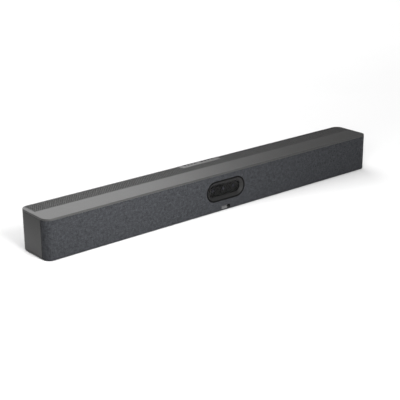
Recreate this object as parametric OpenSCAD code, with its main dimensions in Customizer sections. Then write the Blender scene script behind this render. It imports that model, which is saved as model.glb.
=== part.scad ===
// Conference camera bar: a long housing on four feet, with a cloth front, a window for three
// lenses with a sliding shutter, a perforated top, two loudspeakers and a bay of sockets behind.
// Millimetres, +Z up, front towards -Y, origin at the middle of the footprint.

/* [Body] */
// Width of the bar, end to end
body_w = 600; // [500:10:700]
// Depth of the bar, from the cloth to the rear face
body_d = 65; // [56:1:80]
// Height of the bar, feet included
body_h = 57.5; // [56.5:0.5:70]
// Radius of the two front corners, seen from above
front_r = 11; // [8:0.5:12]
// Radius of the two rear corners, seen from above
rear_r = 12; // [9:0.5:14]
// Wall thickness of the end caps and the rear cover
wall_t = 2.2; // [1.8:0.1:2.8]
// Height of the feet below the base
foot_gap = 1; // [0.8:0.1:2]
// Thickness of the base tray's floor
base_t = 2; // [1.6:0.2:3]
// Radius of a foot
foot_r = 7; // [5:0.5:9]

/* [Top] */
// Thickness of the top cover
top_t = 2.6; // [2.4:0.1:3.4]
// Depth of the plain strip along the front of the top
strip_d = 35.9; // [32:0.5:38]
// Rim of the top cover at each end of the grille
side_rim = 6; // [5:0.5:10]
// Rim of the top cover behind the grille
rear_rim = 3.5; // [3:0.5:5]
// Thickness of the perforated top grille
grille_t = 1; // [0.8:0.1:1.2]
// How far the grille lies below the top surface
grille_drop = 0.6; // [0.3:0.1:0.9]
// Width of the vent bezel along the rear edge
vent_w = 77; // [72:1:84]
// Width of the vent bezel along its front edge
vent_front_w = 70; // [64:1:71]
// Depth of the vent bezel
vent_d = 12; // [10:0.5:14]
// Slots on each side of the vent bezel's middle
vent_slots = 4; // [2:1:5]
// Distance between neighbouring vent slots
vent_pitch = 6.44; // [5:0.1:6.8]

/* [Front] */
// Thickness of the cloth
cloth_t = 0.6; // [0.4:0.1:0.8]
// Thickness of the frame that carries the cloth
frame_t = 2; // [1.6:0.1:2.4]
// How far back the cloth reaches round the corners
cloth_wrap = 13.2; // [12.6:0.2:16]
// Width of the camera window
window_w = 72; // [70:0.5:76]
// Height of the camera window
window_h = 31.2; // [30.5:0.1:32.5]
// Height of the window's middle above the table
window_z = 31.3; // [30.5:0.1:32]
// Width of the black ring round the window
ring_w = 1.3; // [1:0.1:1.6]
// How far the sloping bezel narrows the window on each side
funnel_w = 5.3; // [4.5:0.1:5.8]
// Depth of the glass below the cloth
glass_depth = 4; // [3.6:0.1:4.4]
// Thickness of the window glass
glass_t = 1.2; // [1:0.1:1.6]

/* [Camera] */
// Distance between neighbouring lenses
lens_pitch = 19.25; // [17:0.25:20]
// Radius of a lens barrel
barrel_r = 4.5; // [4:0.1:4.8]
// Radius of a front lens element
element_r = 2.4; // [2:0.1:2.4]
// Radius of the holes in the shutter blade
aperture_r = 2.7; // [2.4:0.1:2.7]
// Width of the shutter slot in the front
slot_w = 16.2; // [16:0.1:18]
// Height of the shutter slot
slot_h = 5.4; // [4.8:0.1:6]
// Height of the slot's lower edge above the table
slot_z = 2.2; // [2.1:0.1:3]
// Distance that the shutter slides
shutter_travel = 5.2; // [5.1:0.1:6]

/* [Loudspeakers] */
// Gap between the main board and a loudspeaker box
box_gap = 35.8; // [30:0.1:45]
// Height of a loudspeaker box
box_h = 42; // [41.5:0.25:43]
// Wall thickness of a loudspeaker box
box_t = 2; // [1.6:0.1:2.4]
// Outer radius of a loudspeaker
driver_r = 20; // [18:0.5:20.5]
// Distance that a loudspeaker cone moves to each side
cone_travel = 1.5; // [1:0.1:1.6]

/* [Electronics] */
// Length of the main board
board_w = 176; // [170:2:180]
// Depth of the main board
board_d = 26.7; // [26:0.1:29]
// Thickness of the main board
board_t = 1.6; // [1.2:0.2:1.6]
// Width of the socket bay
bay_w = 132; // [130:1:140]
// Height of the bay's ceiling above the table
bay_z = 34; // [30:1:38]
// Fins on the heat sink
fin_count = 11; // [6:1:14]
// Microphones on each side
mic_count = 4; // [2:1:6]

/* [Mounting] */
// Distance between the two wall-mount inserts
wall_pitch = 300; // [260:5:340]
// Radius of the thread in a wall-mount insert
insert_hole_r = 2; // [1.5:0.25:2.5]
// Length of a wall-mount insert
insert_l = 7; // [5:0.5:8]

/* [Hidden] */
$fn = 64;
overrun = 1;      // how far a cut runs past the face it opens
fit = 0.2;        // gap between pieces that drop into each other
slide = 0.3;      // gap between pieces that slide on each other
seam = 0.2;       // gap between neighbouring covers

// Planes of the housing
front_y = -body_d / 2;
rear_y = body_d / 2;
cover_z = body_h - top_t;
shell_z = cover_z - seam;
floor_z = foot_gap + base_t;
frame_back_y = front_y + cloth_t + frame_t;
cap_x = body_w / 2 - wall_t;

// Screws and what they sit in
seat_r = 4.5;
seat_h = 1;
seat_z = floor_z + seat_h;
head_r = 2.8;
head_h = 1.6;
head_sink = 0.2;
shank_r = 1.4;
shank_l = 10;
shank_gap = 0.05;
hole_gap = 0.2;
boss_r = 3.5;
boss_room = 7;
small_head_r = 1.8;
small_head_h = 1.2;
small_shank_r = 0.9;
small_shank_l = 3;
tab_t = 4;
tab_w = 12;
tab_d = 10;
tab_hole_l = 3.6;
post_room = 1;

// Feet
foot_sink = 0.8;
foot_end = 60;
foot_edge = 14;

// Loudspeaker boxes and drivers
box_end = 14;
box_x1 = cap_x - box_end;
box_x0 = board_w / 2 + box_gap;
box_x = (box_x0 + box_x1) / 2;
flange_t = 1.5;
cone_room = 1.4;
box_front = flange_t + cone_travel + cone_room;
box_y0 = frame_back_y + box_front;
rear_room = 8;
box_y1 = rear_y - wall_t - rear_room;
box_z1 = seat_z + box_h;
driver_z = seat_z + box_h / 2;
flange_w = 3;
basket_r = driver_r - flange_w;
basket_t = 1;
basket_d = 9;
basket_floor = 1.5;
basket_gaps = 6;
basket_gap_w = 8;
magnet_r = 13;
magnet_h = 8;
magnet_lid = 2;
pole_r = 4.2;
gap_r = 6;
coil_r = 5.2;
coil_t = 0.5;
coil_l = 7.5;
roll_w = 3;
roll_t = 0.6;
roll_lip = 1.7;
roll_lip_t = 0.4;
cone_r = basket_r - basket_t - roll_w - slide;
cone_t = 0.8;
cone_depth = 6;
cap_r = 6.2;
cap_h = 1.6;
gasket_w = 2;
box_foot = 28;
box_foot_x = (box_x1 - box_x0) / 2 - box_foot;
box_boss_h = 8;
box_hole_l = 6.5;
rear_hole_l = 7.5;

// Cloth frame
sound_rows = 7;
sound_cols = 3;
sound_h = 2.4;
sound_pitch = 5;
sound_w = 12;
sound_step = 14;
frame_tab_x = 60;
mic_hole_r = 0.6;
mic_first = 56;
mic_last_in = 70;
mic_step = (body_w / 2 - mic_first - mic_last_in) / (mic_count - 1);
mic_drop = 4;
mic_z = shell_z - mic_drop;
mic_row_h = 6;
mic_end = 10;
boot_r = 2.5;
boot_t = 1;
mic_board_t = 1;
can_w = 3.8;
can_h = 3;
can_t = 1.1;

// Window stack, from front to back
ring_set = 0.2;
ring_lip = 2;
ring_lip_t = 0.8;
bezel_set = 0.4;
bezel_lip = 0.6;
bezel_edge_t = 0.4;
bezel_flange = 5;
glass_lap = 1.2;
bezel_w = window_w - 2 * (fit + ring_w);
bezel_h = window_h - 2 * (fit + ring_w);
floor_w = bezel_w - 2 * funnel_w;
floor_h = bezel_h - 2 * funnel_w;
glass_y = front_y + glass_depth;
bezel_back_y = glass_y + glass_t;
blade_t = 0.6;
blade_y = bezel_back_y + slide;
blade_edge = 7.5;
blade_w = 2 * (lens_pitch + blade_edge);
blade_h = 18;
bracket_y = blade_y + blade_t + slide;
bracket_t = 1.6;
bracket_w = 76;
bracket_h = 34;
guide_t = 2;
guide_w = 44;
knob_w = slot_w - shutter_travel - fit;
knob_set = 0.3;
arm_w = 7;
arm_drop = 0.6;
knob_x = -slot_w / 2 + fit / 2 + knob_w / 2;
post_r = 2.2;
bracket_post_x = 28;
bracket_post_z = 13.2;
board_post_x = 29.6;
board_post_z = 7.5;
lens_y = bracket_y + fit;
barrel_l = 6.4;
holder_w = 10;
holder_l = 5;
cam_board_y = lens_y + barrel_l + holder_l;
cam_board_w = 66;
cam_board_h = 22;
cam_board_t = 1.2;
element_set = 0.6;
element_t = 1;
element_dome = 0.45;
element_gap = 0.05;
mouth_r = 3.9;
flex_w = 12;
flex_t = 0.3;
flex_tab = 8;
flex_room = 4;

// Main board and what stands on it
stand_h = 6;
stand_r = 3;
stand_in = 5;
board_z = floor_z + stand_h;
deck_z = board_z + board_t;
board_front = 23;
board_y0 = front_y + board_front;
board_y1 = board_y0 + board_d;
shield_t = 1;
shield_y = board_y1 + slide + shield_t;
bay_wall = 1.6;
mouth_out = 0.3;
mouth_y = shield_y + mouth_out;
port_gap = 0.3;
chip_h = 1.6;
soc_w = 11;
soc_room = 0.5;
soc_y0 = board_y0 + flex_t + flex_room + soc_room;
pad_h = 0.6;
sink_in = 1;
sink_y0 = board_y0 + sink_in;
sink_z0 = deck_z + chip_h + pad_h;
sink_w = 36;
sink_d = 15;
sink_base = 2.5;
sink_h = 32;
fin_t = 1.2;
// Left, front, width, depth and height of the small chips, as shares of the board's two sides
chip_shares = [
    [-0.095, 0.08, 0.05, 0.4, 0.04], [0.045, 0.08, 0.05, 0.4, 0.04],
    [-0.25, 0.05, 0.06, 0.2, 0.035], [-0.16, 0.08, 0.05, 0.28, 0.05],
    [0.13, 0.1, 0.04, 0.26, 0.035], [0.22, 0.15, 0.035, 0.2, 0.035],
    [-0.345, 0.05, 0.03, 0.18, 0.15], [-0.3, 0.05, 0.03, 0.18, 0.15],
    [0.31, 0.1, 0.03, 0.3, 0.04]
];
header_x_share = 0.465;
mic_header_share = 0.38;
speaker_header_share = 0.6;
header_w = 4;
header_h = 5;
can_x_share = 0.4;
can_y_share = 0.28;
rf_w = 12;
rf_d = 12;
rf_h = 2.6;

// Sockets: middle in x, then width, height and depth, and what is inside
dc_x = -56;
dc_w = 9;
dc_h = 11;
dc_l = 12;
dc_r = 2.9;
dc_pin_r = 1;
dc_deep = 9.5;
lan_x = -40;
lan_w = 16;
lan_h = 13.4;
lan_l = 20;
lan_hole_w = 11.8;
lan_hole_h = 8.4;
lan_latch_w = 6;
lan_latch_h = 2.2;
lan_deep = 14;
lan_wall = 1.4;
hdmi_x = -21.5;
hdmi_pitch = 18;
hdmi_w = 15;
hdmi_h = 6;
hdmi_l = 11;
usb_c_x = 11.8;
usb_c_w = 9.2;
usb_c_h = 3.6;
usb_c_l = 8;
usb_a_x = 26;
usb_a_w = 13.4;
usb_a_h = 6.4;
usb_a_l = 14;
socket_wall = 0.5;
tongue_t = 1;
tongue_in = 2;
tongue_set = 1.2;
audio_x = 39.6;
audio_w = 7;
audio_h = 6;
audio_l = 12;
audio_r = 1.8;
audio_deep = 10;
audio_nose_r = 2.8;
audio_nose_l = 2.5;
reset_x = 47.5;
reset_z = 4;
reset_hole_r = 1;
reset_r = 1.5;
reset_l = 2;
reset_travel = 0.4;
power_x = 57;
power_z = 5.5;
power_r = 3;
power_out = 1.4;
power_collar = 1;
power_collar_t = 0.8;
power_travel = 0.9;
switch_w = 6;
switch_d = 5;
switch_h = 2;
plunger_r = 1.2;
plunger_l = 0.5;
button_gap = 0.3;
button_y = shield_y - shield_t - seam / 2;

// Wires
wire_r = 0.9;
wire_sides = 8;
wire_steps = 14;
wire_pull = 12;
lead_r = 0.6;
lead_in = 1;
lead_pull = 12;
mic_wire_share = 0.65;
mic_wire_x = mic_first + mic_wire_share * mic_step;
antenna_x = 94;
antenna_w = 36;
antenna_h = 9;
antenna_t = 0.8;
antenna_drop = 8.5;
antenna_z = shell_z - antenna_drop;

// Rear cover
apron_h = 10;
ear_w = 4;
ear_t = 1.2;
vent_slot_w = 3.7;
vent_slot_d = 2.8;
vent_edge = 3.9;
ledge_w = 1.5;
rear_screw_in = 9;
rear_screw_drop = 7;
rear_screw_z = box_z1 - rear_screw_drop;
rear_head_h = 1.2;
rear_head_set = 0.1;
rear_boss_r = 4;
insert_r = 3.2;
insert_boss_r = 5;
insert_end = 1;
insert_boss_l = insert_l + insert_end;
insert_up = 16;
insert_z = seat_z + insert_up;
lock_end = 60;
lock_w = 7;
lock_h = 3;
lock_plate_w = 16;
lock_plate_h = 12;
lock_plate_t = 1.5;
lock_up = 22;
lock_z = seat_z + lock_up;

// A box between two places on each axis
module block(x, y, z) {
    translate([x[0], y[0], z[0]]) cube([x[1] - x[0], y[1] - y[0], z[1] - z[0]]);
}

// A flat outline given thickness between two heights
module between(z0, z1) {
    translate([0, 0, z0]) linear_extrude(z1 - z0) children();
}

// An outline drawn in x and z, given thickness between two places in y
module through_y(y0, y1) {
    translate([0, y1, 0]) rotate([90, 0, 0]) linear_extrude(y1 - y0) children();
}

// A round bar along y
module rod_y(x, z, y0, y1, r) {
    translate([x, y0, z]) rotate([-90, 0, 0]) cylinder(h = y1 - y0, r = r);
}

// A round bar along z
module rod_z(x, y, z0, z1, r) {
    translate([x, y, z0]) cylinder(h = z1 - z0, r = r);
}

// A cone along y
module cone_y(x, z, y0, y1, r0, r1) {
    translate([x, y0, z]) rotate([-90, 0, 0]) cylinder(h = y1 - y0, r1 = r0, r2 = r1);
}

// Both sides of the middle plane
module both_sides() {
    for (side = [0, 1]) mirror([side, 0, 0]) children();
}

// A long outline with round ends
module stadium(w, h) {
    square([w - h, h], center = true);
    for (side = [-1, 1]) translate([side * (w - h) / 2, 0]) circle(r = h / 2);
}

// The bar's outline from above, moved in all round
module plan(inset = 0) {
    half_w = body_w / 2 - inset;
    half_d = body_d / 2 - inset;
    fr = front_r - inset;
    rr = rear_r - inset;
    translate([-half_w, fr - half_d]) square([2 * half_w, 2 * half_d - fr - rr]);
    translate([fr - half_w, -half_d]) square([2 * (half_w - fr), fr]);
    translate([rr - half_w, half_d - rr]) square([2 * (half_w - rr), rr]);
    for (side = [-1, 1]) {
        translate([side * (half_w - fr), fr - half_d]) circle(r = fr);
        translate([side * (half_w - rr), half_d - rr]) circle(r = rr);
    }
}

// A wall that follows the bar's outline, from one inset to another, between two places in y
module wall_plan(outer, inner, y0, y1) {
    intersection() {
        difference() {
            plan(outer);
            plan(inner);
        }
        translate([-body_w / 2, y0]) square([body_w, y1 - y0]);
    }
}

// Window outline, grown by an amount all round
module window_plan(grow) {
    translate([0, window_z]) stadium(window_w + 2 * grow, window_h + 2 * grow);
}

// The slot that the shutter knob slides in
module slot_cut(grow, y0, y1) {
    block([-slot_w / 2 - grow, slot_w / 2 + grow], [y0, y1], [slot_z - grow, slot_z + slot_h + grow]);
}

// Outline of the vent bezel from above, grown by an amount
module vent_plan(grow) {
    polygon([
        [-vent_w / 2 - grow, rear_y + grow], [vent_w / 2 + grow, rear_y + grow],
        [vent_front_w / 2 + grow, rear_y - vent_d - grow], [-vent_front_w / 2 - grow, rear_y - vent_d - grow]
    ]);
}

// Places of the screws that close the case: top cover, boxes, end caps, cloth frame
cover_boss_places = [
    [box_x0 - boss_room, front_y + boss_r + boss_room], [box_x0 - boss_room, rear_y - boss_r - boss_room],
    [box_x1 + boss_room, front_y + cloth_wrap + boss_room], [box_x1 + boss_room, rear_y - rear_r - boss_room]
];
box_boss_places = [[box_x - box_foot_x, 0], [box_x + box_foot_x, 0]];
rear_screw_places = [box_x0 + rear_screw_in, box_x1 - rear_screw_in];
cap_tab_y = (cover_boss_places[2][1] + cover_boss_places[3][1]) / 2;
cap_tab_d = cover_boss_places[3][1] - cover_boss_places[2][1] - 2 * (boss_r + post_room);
cap_tab_place = [box_x1 + boss_room, cap_tab_y];
frame_tab_place = [frame_tab_x, frame_back_y + tab_d / 2];
case_places = concat(cover_boss_places, box_boss_places, [cap_tab_place, frame_tab_place]);

// A hole for a screw's shank, up from a height
module shank_hole(place, z0, l) {
    rod_z(place[0], place[1], z0 - overrun, z0 + l, shank_r + shank_gap);
}

// Edges of the openings under the grille, which leave a rib over each rear post
rib_x1 = box_x0 - boss_room - boss_r - ledge_w;
rib_x0 = box_x0 - boss_room + boss_r + ledge_w;
rib_x2 = box_x1 + boss_room - boss_r - ledge_w;

// Floor of the grille's pocket, and the top of the posts, halfway into what is left of the cover there
pocket_z = body_h - grille_drop - grille_t;
post_z1 = (cover_z + pocket_z) / 2;

// Top cover with its grille pocket and the blind holes for the posts
module top_cover() {
    color("darkgray") difference() {
        between(cover_z, body_h) plan();
        block([-body_w / 2 + side_rim, body_w / 2 - side_rim], [front_y + strip_d, rear_y - rear_rim],
            [pocket_z, body_h + overrun]);
        for (x = [[-rib_x1, rib_x1], [rib_x0, rib_x2], [-rib_x2, -rib_x0]])
            block(x, [front_y + strip_d + ledge_w, rear_y - rear_rim - ledge_w],
                [cover_z - overrun, body_h]);
        between(cover_z - overrun, body_h + overrun) vent_plan(fit);
        both_sides() for (p = cover_boss_places) rod_z(p[0], p[1], cover_z - overrun, post_z1,
            boss_r + shank_gap);
    }
}

// Posts between the base and the top cover, which the case screws enter
module cover_posts() {
    color("silver") both_sides() for (p = cover_boss_places) difference() {
        rod_z(p[0], p[1], seat_z, post_z1, boss_r);
        shank_hole(p, seat_z, shank_l);
    }
}

// Perforated sheet that lies in the top cover's pocket
module top_grille() {
    z0 = pocket_z;
    color("dimgray") difference() {
        block([-body_w / 2 + side_rim + fit, body_w / 2 - side_rim - fit],
            [front_y + strip_d + fit, rear_y - rear_rim - fit], [z0, z0 + grille_t]);
        between(z0 - overrun, body_h) vent_plan(fit);
    }
}

// Vent bezel at the middle of the rear edge, with an apron down the back and two ears under the rim
module vent_bezel() {
    ear_y1 = rear_y - wall_t - fit;
    ear_y0 = rear_y - rear_rim - ledge_w;
    color("silver") difference() {
        union() {
            between(cover_z, body_h) vent_plan(0);
            block([-vent_w / 2, vent_w / 2], [rear_y - wall_t, rear_y], [cover_z - apron_h, cover_z]);
            both_sides() block([vent_front_w / 2 - ear_w, vent_w / 2 + ear_w], [ear_y0, ear_y1],
                [cover_z - ear_t, cover_z]);
        }
        both_sides() for (i = [0 : vent_slots - 1]) {
            x = vent_pitch * (i + 1);
            block([x - vent_slot_w / 2, x + vent_slot_w / 2],
                [rear_y - vent_edge - vent_slot_d / 2, rear_y - vent_edge + vent_slot_d / 2],
                [cover_z - ear_t - overrun, body_h + overrun]);
        }
    }
}

// End cap with the rear corner and a screwed tab
module end_cap() {
    tab = cap_tab_place;
    color("gray") difference() {
        union() {
            between(foot_gap, shell_z) intersection() {
                wall_plan(0, wall_t, front_y + cloth_wrap + seam, rear_y);
                translate([body_w / 2 - rear_r, front_y]) square([rear_r, body_d]);
            }
            block([tab[0] - tab_w / 2, cap_x + wall_t / 2],
                [tab[1] - cap_tab_d / 2, tab[1] + cap_tab_d / 2], [seat_z, seat_z + tab_t]);
        }
        shank_hole(tab, seat_z, tab_hole_l);
    }
}

module left_end_cap() mirror([1, 0, 0]) end_cap();
module right_end_cap() end_cap();

// Rear cover with the socket bay's walls, the insert bosses and the lock slot
module rear_cover() {
    half_w = body_w / 2 - rear_r - seam;
    lock_x = lock_end - body_w / 2;
    color("gray") difference() {
        union() {
            block([-half_w, half_w], [rear_y - wall_t, rear_y], [foot_gap, shell_z]);
            block([-bay_w / 2 - bay_wall, bay_w / 2 + bay_wall], [shield_y, rear_y],
                [foot_gap, bay_z + bay_wall]);
            for (side = [-1, 1]) rod_y(side * wall_pitch / 2, insert_z, rear_y - insert_boss_l, rear_y,
                insert_boss_r);
        }
        block([-bay_w / 2, bay_w / 2], [shield_y - overrun, rear_y + overrun], [foot_gap - overrun, bay_z]);
        block([-vent_w / 2 - fit, vent_w / 2 + fit], [rear_y - wall_t - overrun, rear_y + overrun],
            [cover_z - apron_h - fit, cover_z]);
        for (side = [-1, 1]) rod_y(side * wall_pitch / 2, insert_z, rear_y - insert_l, rear_y + overrun,
            insert_r);
        both_sides() for (x = rear_screw_places) {
            rod_y(x, rear_screw_z, rear_y - wall_t - overrun, rear_y + overrun, shank_r + hole_gap);
            rod_y(x, rear_screw_z, rear_y - rear_head_set - rear_head_h, rear_y + overrun, head_r + hole_gap);
        }
        block([lock_x - lock_w / 2, lock_x + lock_w / 2], [rear_y - wall_t - overrun, rear_y + overrun],
            [lock_z - lock_h / 2, lock_z + lock_h / 2]);
    }
}

// Steel plate behind the lock slot
module lock_plate() {
    lock_x = lock_end - body_w / 2;
    y1 = rear_y - wall_t;
    color("lightsteelblue") difference() {
        block([lock_x - lock_plate_w / 2, lock_x + lock_plate_w / 2], [y1 - lock_plate_t, y1],
            [lock_z - lock_plate_h / 2, lock_z + lock_plate_h / 2]);
        block([lock_x - lock_w / 2, lock_x + lock_w / 2], [y1 - lock_plate_t - overrun, y1 + overrun],
            [lock_z - lock_h / 2, lock_z + lock_h / 2]);
    }
}

// Threaded inserts for a wall bracket
module wall_inserts() {
    color("goldenrod") for (side = [-1, 1]) difference() {
        rod_y(side * wall_pitch / 2, insert_z, rear_y - insert_l, rear_y, insert_r);
        rod_y(side * wall_pitch / 2, insert_z, rear_y - insert_l - overrun, rear_y + overrun, insert_hole_r);
    }
}

// Places of the feet and of the main board's stands
foot_places = [
    for (side = [-1, 1]) for (y = [front_y + foot_edge, rear_y - foot_edge])
        [side * (body_w / 2 - foot_end), y]
];
stand_places = [
    for (side = [-1, 1]) for (y = [board_y0 + stand_in, board_y1 - stand_in])
        [side * (board_w / 2 - stand_in), y]
];

// Base tray with screw seats, foot pockets, board stands and the openings at the slot and the bay
module base_tray() {
    inset = cloth_t + frame_t + fit;
    color("darkslategray") difference() {
        union() {
            between(foot_gap, floor_z) plan(inset);
            both_sides() for (p = case_places) rod_z(p[0], p[1], foot_gap, seat_z, seat_r);
            for (p = stand_places) rod_z(p[0], p[1], floor_z - base_t / 2, board_z, stand_r);
        }
        both_sides() for (p = case_places) {
            rod_z(p[0], p[1], foot_gap - overrun, foot_gap + head_sink + head_h, head_r + hole_gap);
            rod_z(p[0], p[1], foot_gap, seat_z + overrun, shank_r + hole_gap);
        }
        for (p = stand_places) rod_z(p[0], p[1], floor_z, board_z + overrun, shank_r + shank_gap);
        for (p = foot_places) rod_z(p[0], p[1], foot_gap - overrun, foot_gap + foot_sink, foot_r + fit);
        block([-bay_w / 2 - bay_wall - fit, bay_w / 2 + bay_wall + fit], [shield_y - fit, rear_y],
            [foot_gap - overrun, seat_z]);
        slot_cut(seam, front_y, bracket_y + fit);
    }
}

module feet() {
    color("black") for (p = foot_places) rod_z(p[0], p[1], 0, foot_gap + foot_sink, foot_r);
}

// Places of the microphones on one side
mic_places = [for (i = [0 : mic_count - 1]) mic_first + mic_step * i];

// Stiff frame behind the cloth, open in front of the loudspeakers and the microphones
module grille_frame() {
    y0 = front_y + cloth_t;
    tab = frame_tab_place;
    color("darkslategray") difference() {
        union() {
            between(foot_gap, shell_z)
                wall_plan(cloth_t, cloth_t + frame_t, front_y, front_y + cloth_wrap);
            both_sides() block([tab[0] - tab_w / 2, tab[0] + tab_w / 2],
                [frame_back_y - frame_t / 2, tab[1] + tab_d / 2], [seat_z, seat_z + tab_t]);
        }
        through_y(front_y, frame_back_y + overrun) window_plan(0);
        slot_cut(0, front_y, frame_back_y + overrun);
        both_sides() shank_hole(tab, seat_z, tab_hole_l);
        both_sides() for (row = [0 : sound_rows - 1]) for (col = [0 : sound_cols - 1]) {
            x = box_x + (col - (sound_cols - 1) / 2) * sound_step;
            z = driver_z + (row - (sound_rows - 1) / 2) * sound_pitch;
            block([x - sound_w / 2, x + sound_w / 2], [y0 - overrun, frame_back_y + overrun],
                [z - sound_h / 2, z + sound_h / 2]);
        }
        both_sides() for (x = mic_places) rod_y(x, mic_z, y0 - overrun, frame_back_y + overrun, mic_hole_r);
    }
}

// Cloth stretched over the frame and round the front corners
module grille_fabric() {
    color("slategray") difference() {
        between(foot_gap, shell_z) wall_plan(0, cloth_t, front_y, front_y + cloth_wrap);
        through_y(front_y - overrun, frame_back_y) window_plan(0);
        slot_cut(0, front_y - overrun, frame_back_y);
    }
}

// Black ring between the cloth and the bezel, with a lip behind the frame
module window_ring() {
    color("black") difference() {
        union() {
            through_y(front_y + ring_set, frame_back_y) window_plan(-fit / 2);
            through_y(frame_back_y, frame_back_y + ring_lip_t) window_plan(ring_lip);
        }
        through_y(front_y, frame_back_y + ring_lip_t + overrun) window_plan(-fit / 2 - ring_w);
    }
}

// Cutting shape that narrows from one stadium to a smaller one along y
module funnel(w, h, narrow, y0, y1) {
    half_l = (w - h) / 2;
    y_out = y0 - overrun;
    r_out = h / 2 + narrow * overrun / (y1 - y0);
    r_in = h / 2 - narrow;
    for (side = [-1, 1]) cone_y(side * half_l, window_z, y_out, y1, r_out, r_in);
    translate([half_l, 0, window_z]) rotate([90, 0, -90]) linear_extrude(2 * half_l) polygon([
        [-y_out, -r_out], [-y1, -r_in], [-y1, r_in], [-y_out, r_out]
    ]);
}

// Sloping bezel of the window, with a pocket for the glass and posts for the bracket
module window_bezel() {
    y0 = front_y + bezel_set;
    slope = funnel_w - bezel_lip;
    lip_y = frame_back_y + ring_lip_t;
    color("dimgray") difference() {
        union() {
            through_y(y0, bezel_back_y) translate([0, window_z]) stadium(bezel_w, bezel_h);
            through_y(lip_y, bezel_back_y) window_plan(bezel_flange);
            for (sx = [-1, 1]) for (sz = [-1, 1]) rod_y(sx * bracket_post_x, window_z + sz * bracket_post_z,
                bezel_back_y - glass_t, bracket_y, post_r);
        }
        funnel(bezel_w - 2 * bezel_lip, bezel_h - 2 * bezel_lip, slope, y0, glass_y - bezel_edge_t);
        through_y(y0 - overrun, bezel_back_y + overrun)
            translate([0, window_z]) stadium(floor_w, floor_h);
        through_y(glass_y, bezel_back_y + overrun)
            translate([0, window_z]) stadium(floor_w + 2 * glass_lap, floor_h + 2 * glass_lap);
        for (sx = [-1, 1]) for (sz = [-1, 1]) rod_y(sx * bracket_post_x, window_z + sz * bracket_post_z,
            bracket_y - small_shank_l + bracket_t, bracket_y + overrun, small_shank_r + shank_gap);
    }
}

// Smoked glass
module window_glass() {
    lap = glass_lap - fit / 2;
    color("black") through_y(glass_y, bezel_back_y)
        translate([0, window_z]) stadium(floor_w + 2 * lap, floor_h + 2 * lap);
}

// Sliding shutter blade with three holes and an arm down to the knob
module shutter_blade() {
    color("darkslategray") difference() {
        union() {
            block([-blade_w / 2, blade_w / 2], [blade_y, blade_y + blade_t],
                [window_z - blade_h / 2, window_z + blade_h / 2]);
            block([knob_x - arm_w / 2, knob_x + arm_w / 2], [blade_y, blade_y + blade_t],
                [slot_z + fit + arm_drop, window_z]);
        }
        for (i = [-1 : 1]) rod_y(i * lens_pitch, window_z, blade_y - overrun, blade_y + blade_t + overrun,
            aperture_r);
    }
}

// Knob in the slot, at its left end when the shutter is open
module shutter_knob() {
    color("whitesmoke") block([knob_x - knob_w / 2, knob_x + knob_w / 2], [front_y + knob_set, blade_y],
        [slot_z + fit, slot_z + slot_h - fit]);
}

// Bracket behind the shutter, with guides for the blade and posts for the camera board
module camera_bracket() {
    guide_z = blade_h / 2 + slide;
    color("darkgray") difference() {
        union() {
            block([-bracket_w / 2, bracket_w / 2], [bracket_y, bracket_y + bracket_t],
                [window_z - bracket_h / 2, window_z + bracket_h / 2]);
            block([-guide_w / 2, guide_w / 2], [bezel_back_y, bracket_y + bracket_t / 2],
                [window_z + guide_z, window_z + guide_z + guide_t]);
            for (x = [[-guide_w / 2, knob_x - arm_w / 2 - slide],
                [knob_x + arm_w / 2 + shutter_travel + slide, guide_w / 2]])
                block(x, [bezel_back_y, bracket_y + bracket_t / 2],
                    [window_z - guide_z - guide_t, window_z - guide_z]);
            for (sx = [-1, 1]) for (sz = [-1, 1]) rod_y(sx * board_post_x, window_z + sz * board_post_z,
                bracket_y + bracket_t / 2, cam_board_y, post_r);
        }
        for (i = [-1 : 1]) rod_y(i * lens_pitch, window_z, bracket_y - overrun,
            bracket_y + bracket_t + overrun, barrel_r + slide);
        for (sx = [-1, 1]) for (sz = [-1, 1]) {
            rod_y(sx * bracket_post_x, window_z + sz * bracket_post_z, bracket_y - overrun,
                bracket_y + bracket_t + overrun, small_shank_r + hole_gap);
            rod_y(sx * board_post_x, window_z + sz * board_post_z, cam_board_y - small_shank_l,
                cam_board_y + overrun, small_shank_r + shank_gap);
        }
    }
}

// Camera board
module camera_board() {
    color("darkgreen") difference() {
        block([-cam_board_w / 2, cam_board_w / 2], [cam_board_y, cam_board_y + cam_board_t],
            [window_z - cam_board_h / 2, window_z + cam_board_h / 2]);
        for (sx = [-1, 1]) for (sz = [-1, 1]) rod_y(sx * board_post_x, window_z + sz * board_post_z,
            cam_board_y - overrun, cam_board_y + cam_board_t + overrun, small_shank_r + hole_gap);
    }
}

// Lens barrel on its square holder
module lens(x) {
    seat_y = lens_y + element_set;
    color("black") difference() {
        union() {
            rod_y(x, window_z, lens_y, lens_y + barrel_l + holder_l / 2, barrel_r);
            block([x - holder_w / 2, x + holder_w / 2], [lens_y + barrel_l, cam_board_y],
                [window_z - holder_w / 2, window_z + holder_w / 2]);
        }
        cone_y(x, window_z, lens_y - overrun, seat_y, mouth_r + overrun, element_r + element_gap);
        rod_y(x, window_z, lens_y, seat_y + element_t, element_r + element_gap);
    }
}

module left_lens() lens(-lens_pitch);
module centre_lens() lens(0);
module right_lens() lens(lens_pitch);

// Domed front glass of each lens
module lens_elements() {
    seat_y = lens_y + element_set;
    ball_r = (element_r * element_r + element_dome * element_dome) / (2 * element_dome);
    color("midnightblue") for (i = [-1 : 1]) intersection() {
        rod_y(i * lens_pitch, window_z, seat_y - element_dome, seat_y + element_t, element_r);
        translate([i * lens_pitch, seat_y - element_dome + ball_r, window_z]) sphere(r = ball_r);
    }
}

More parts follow.
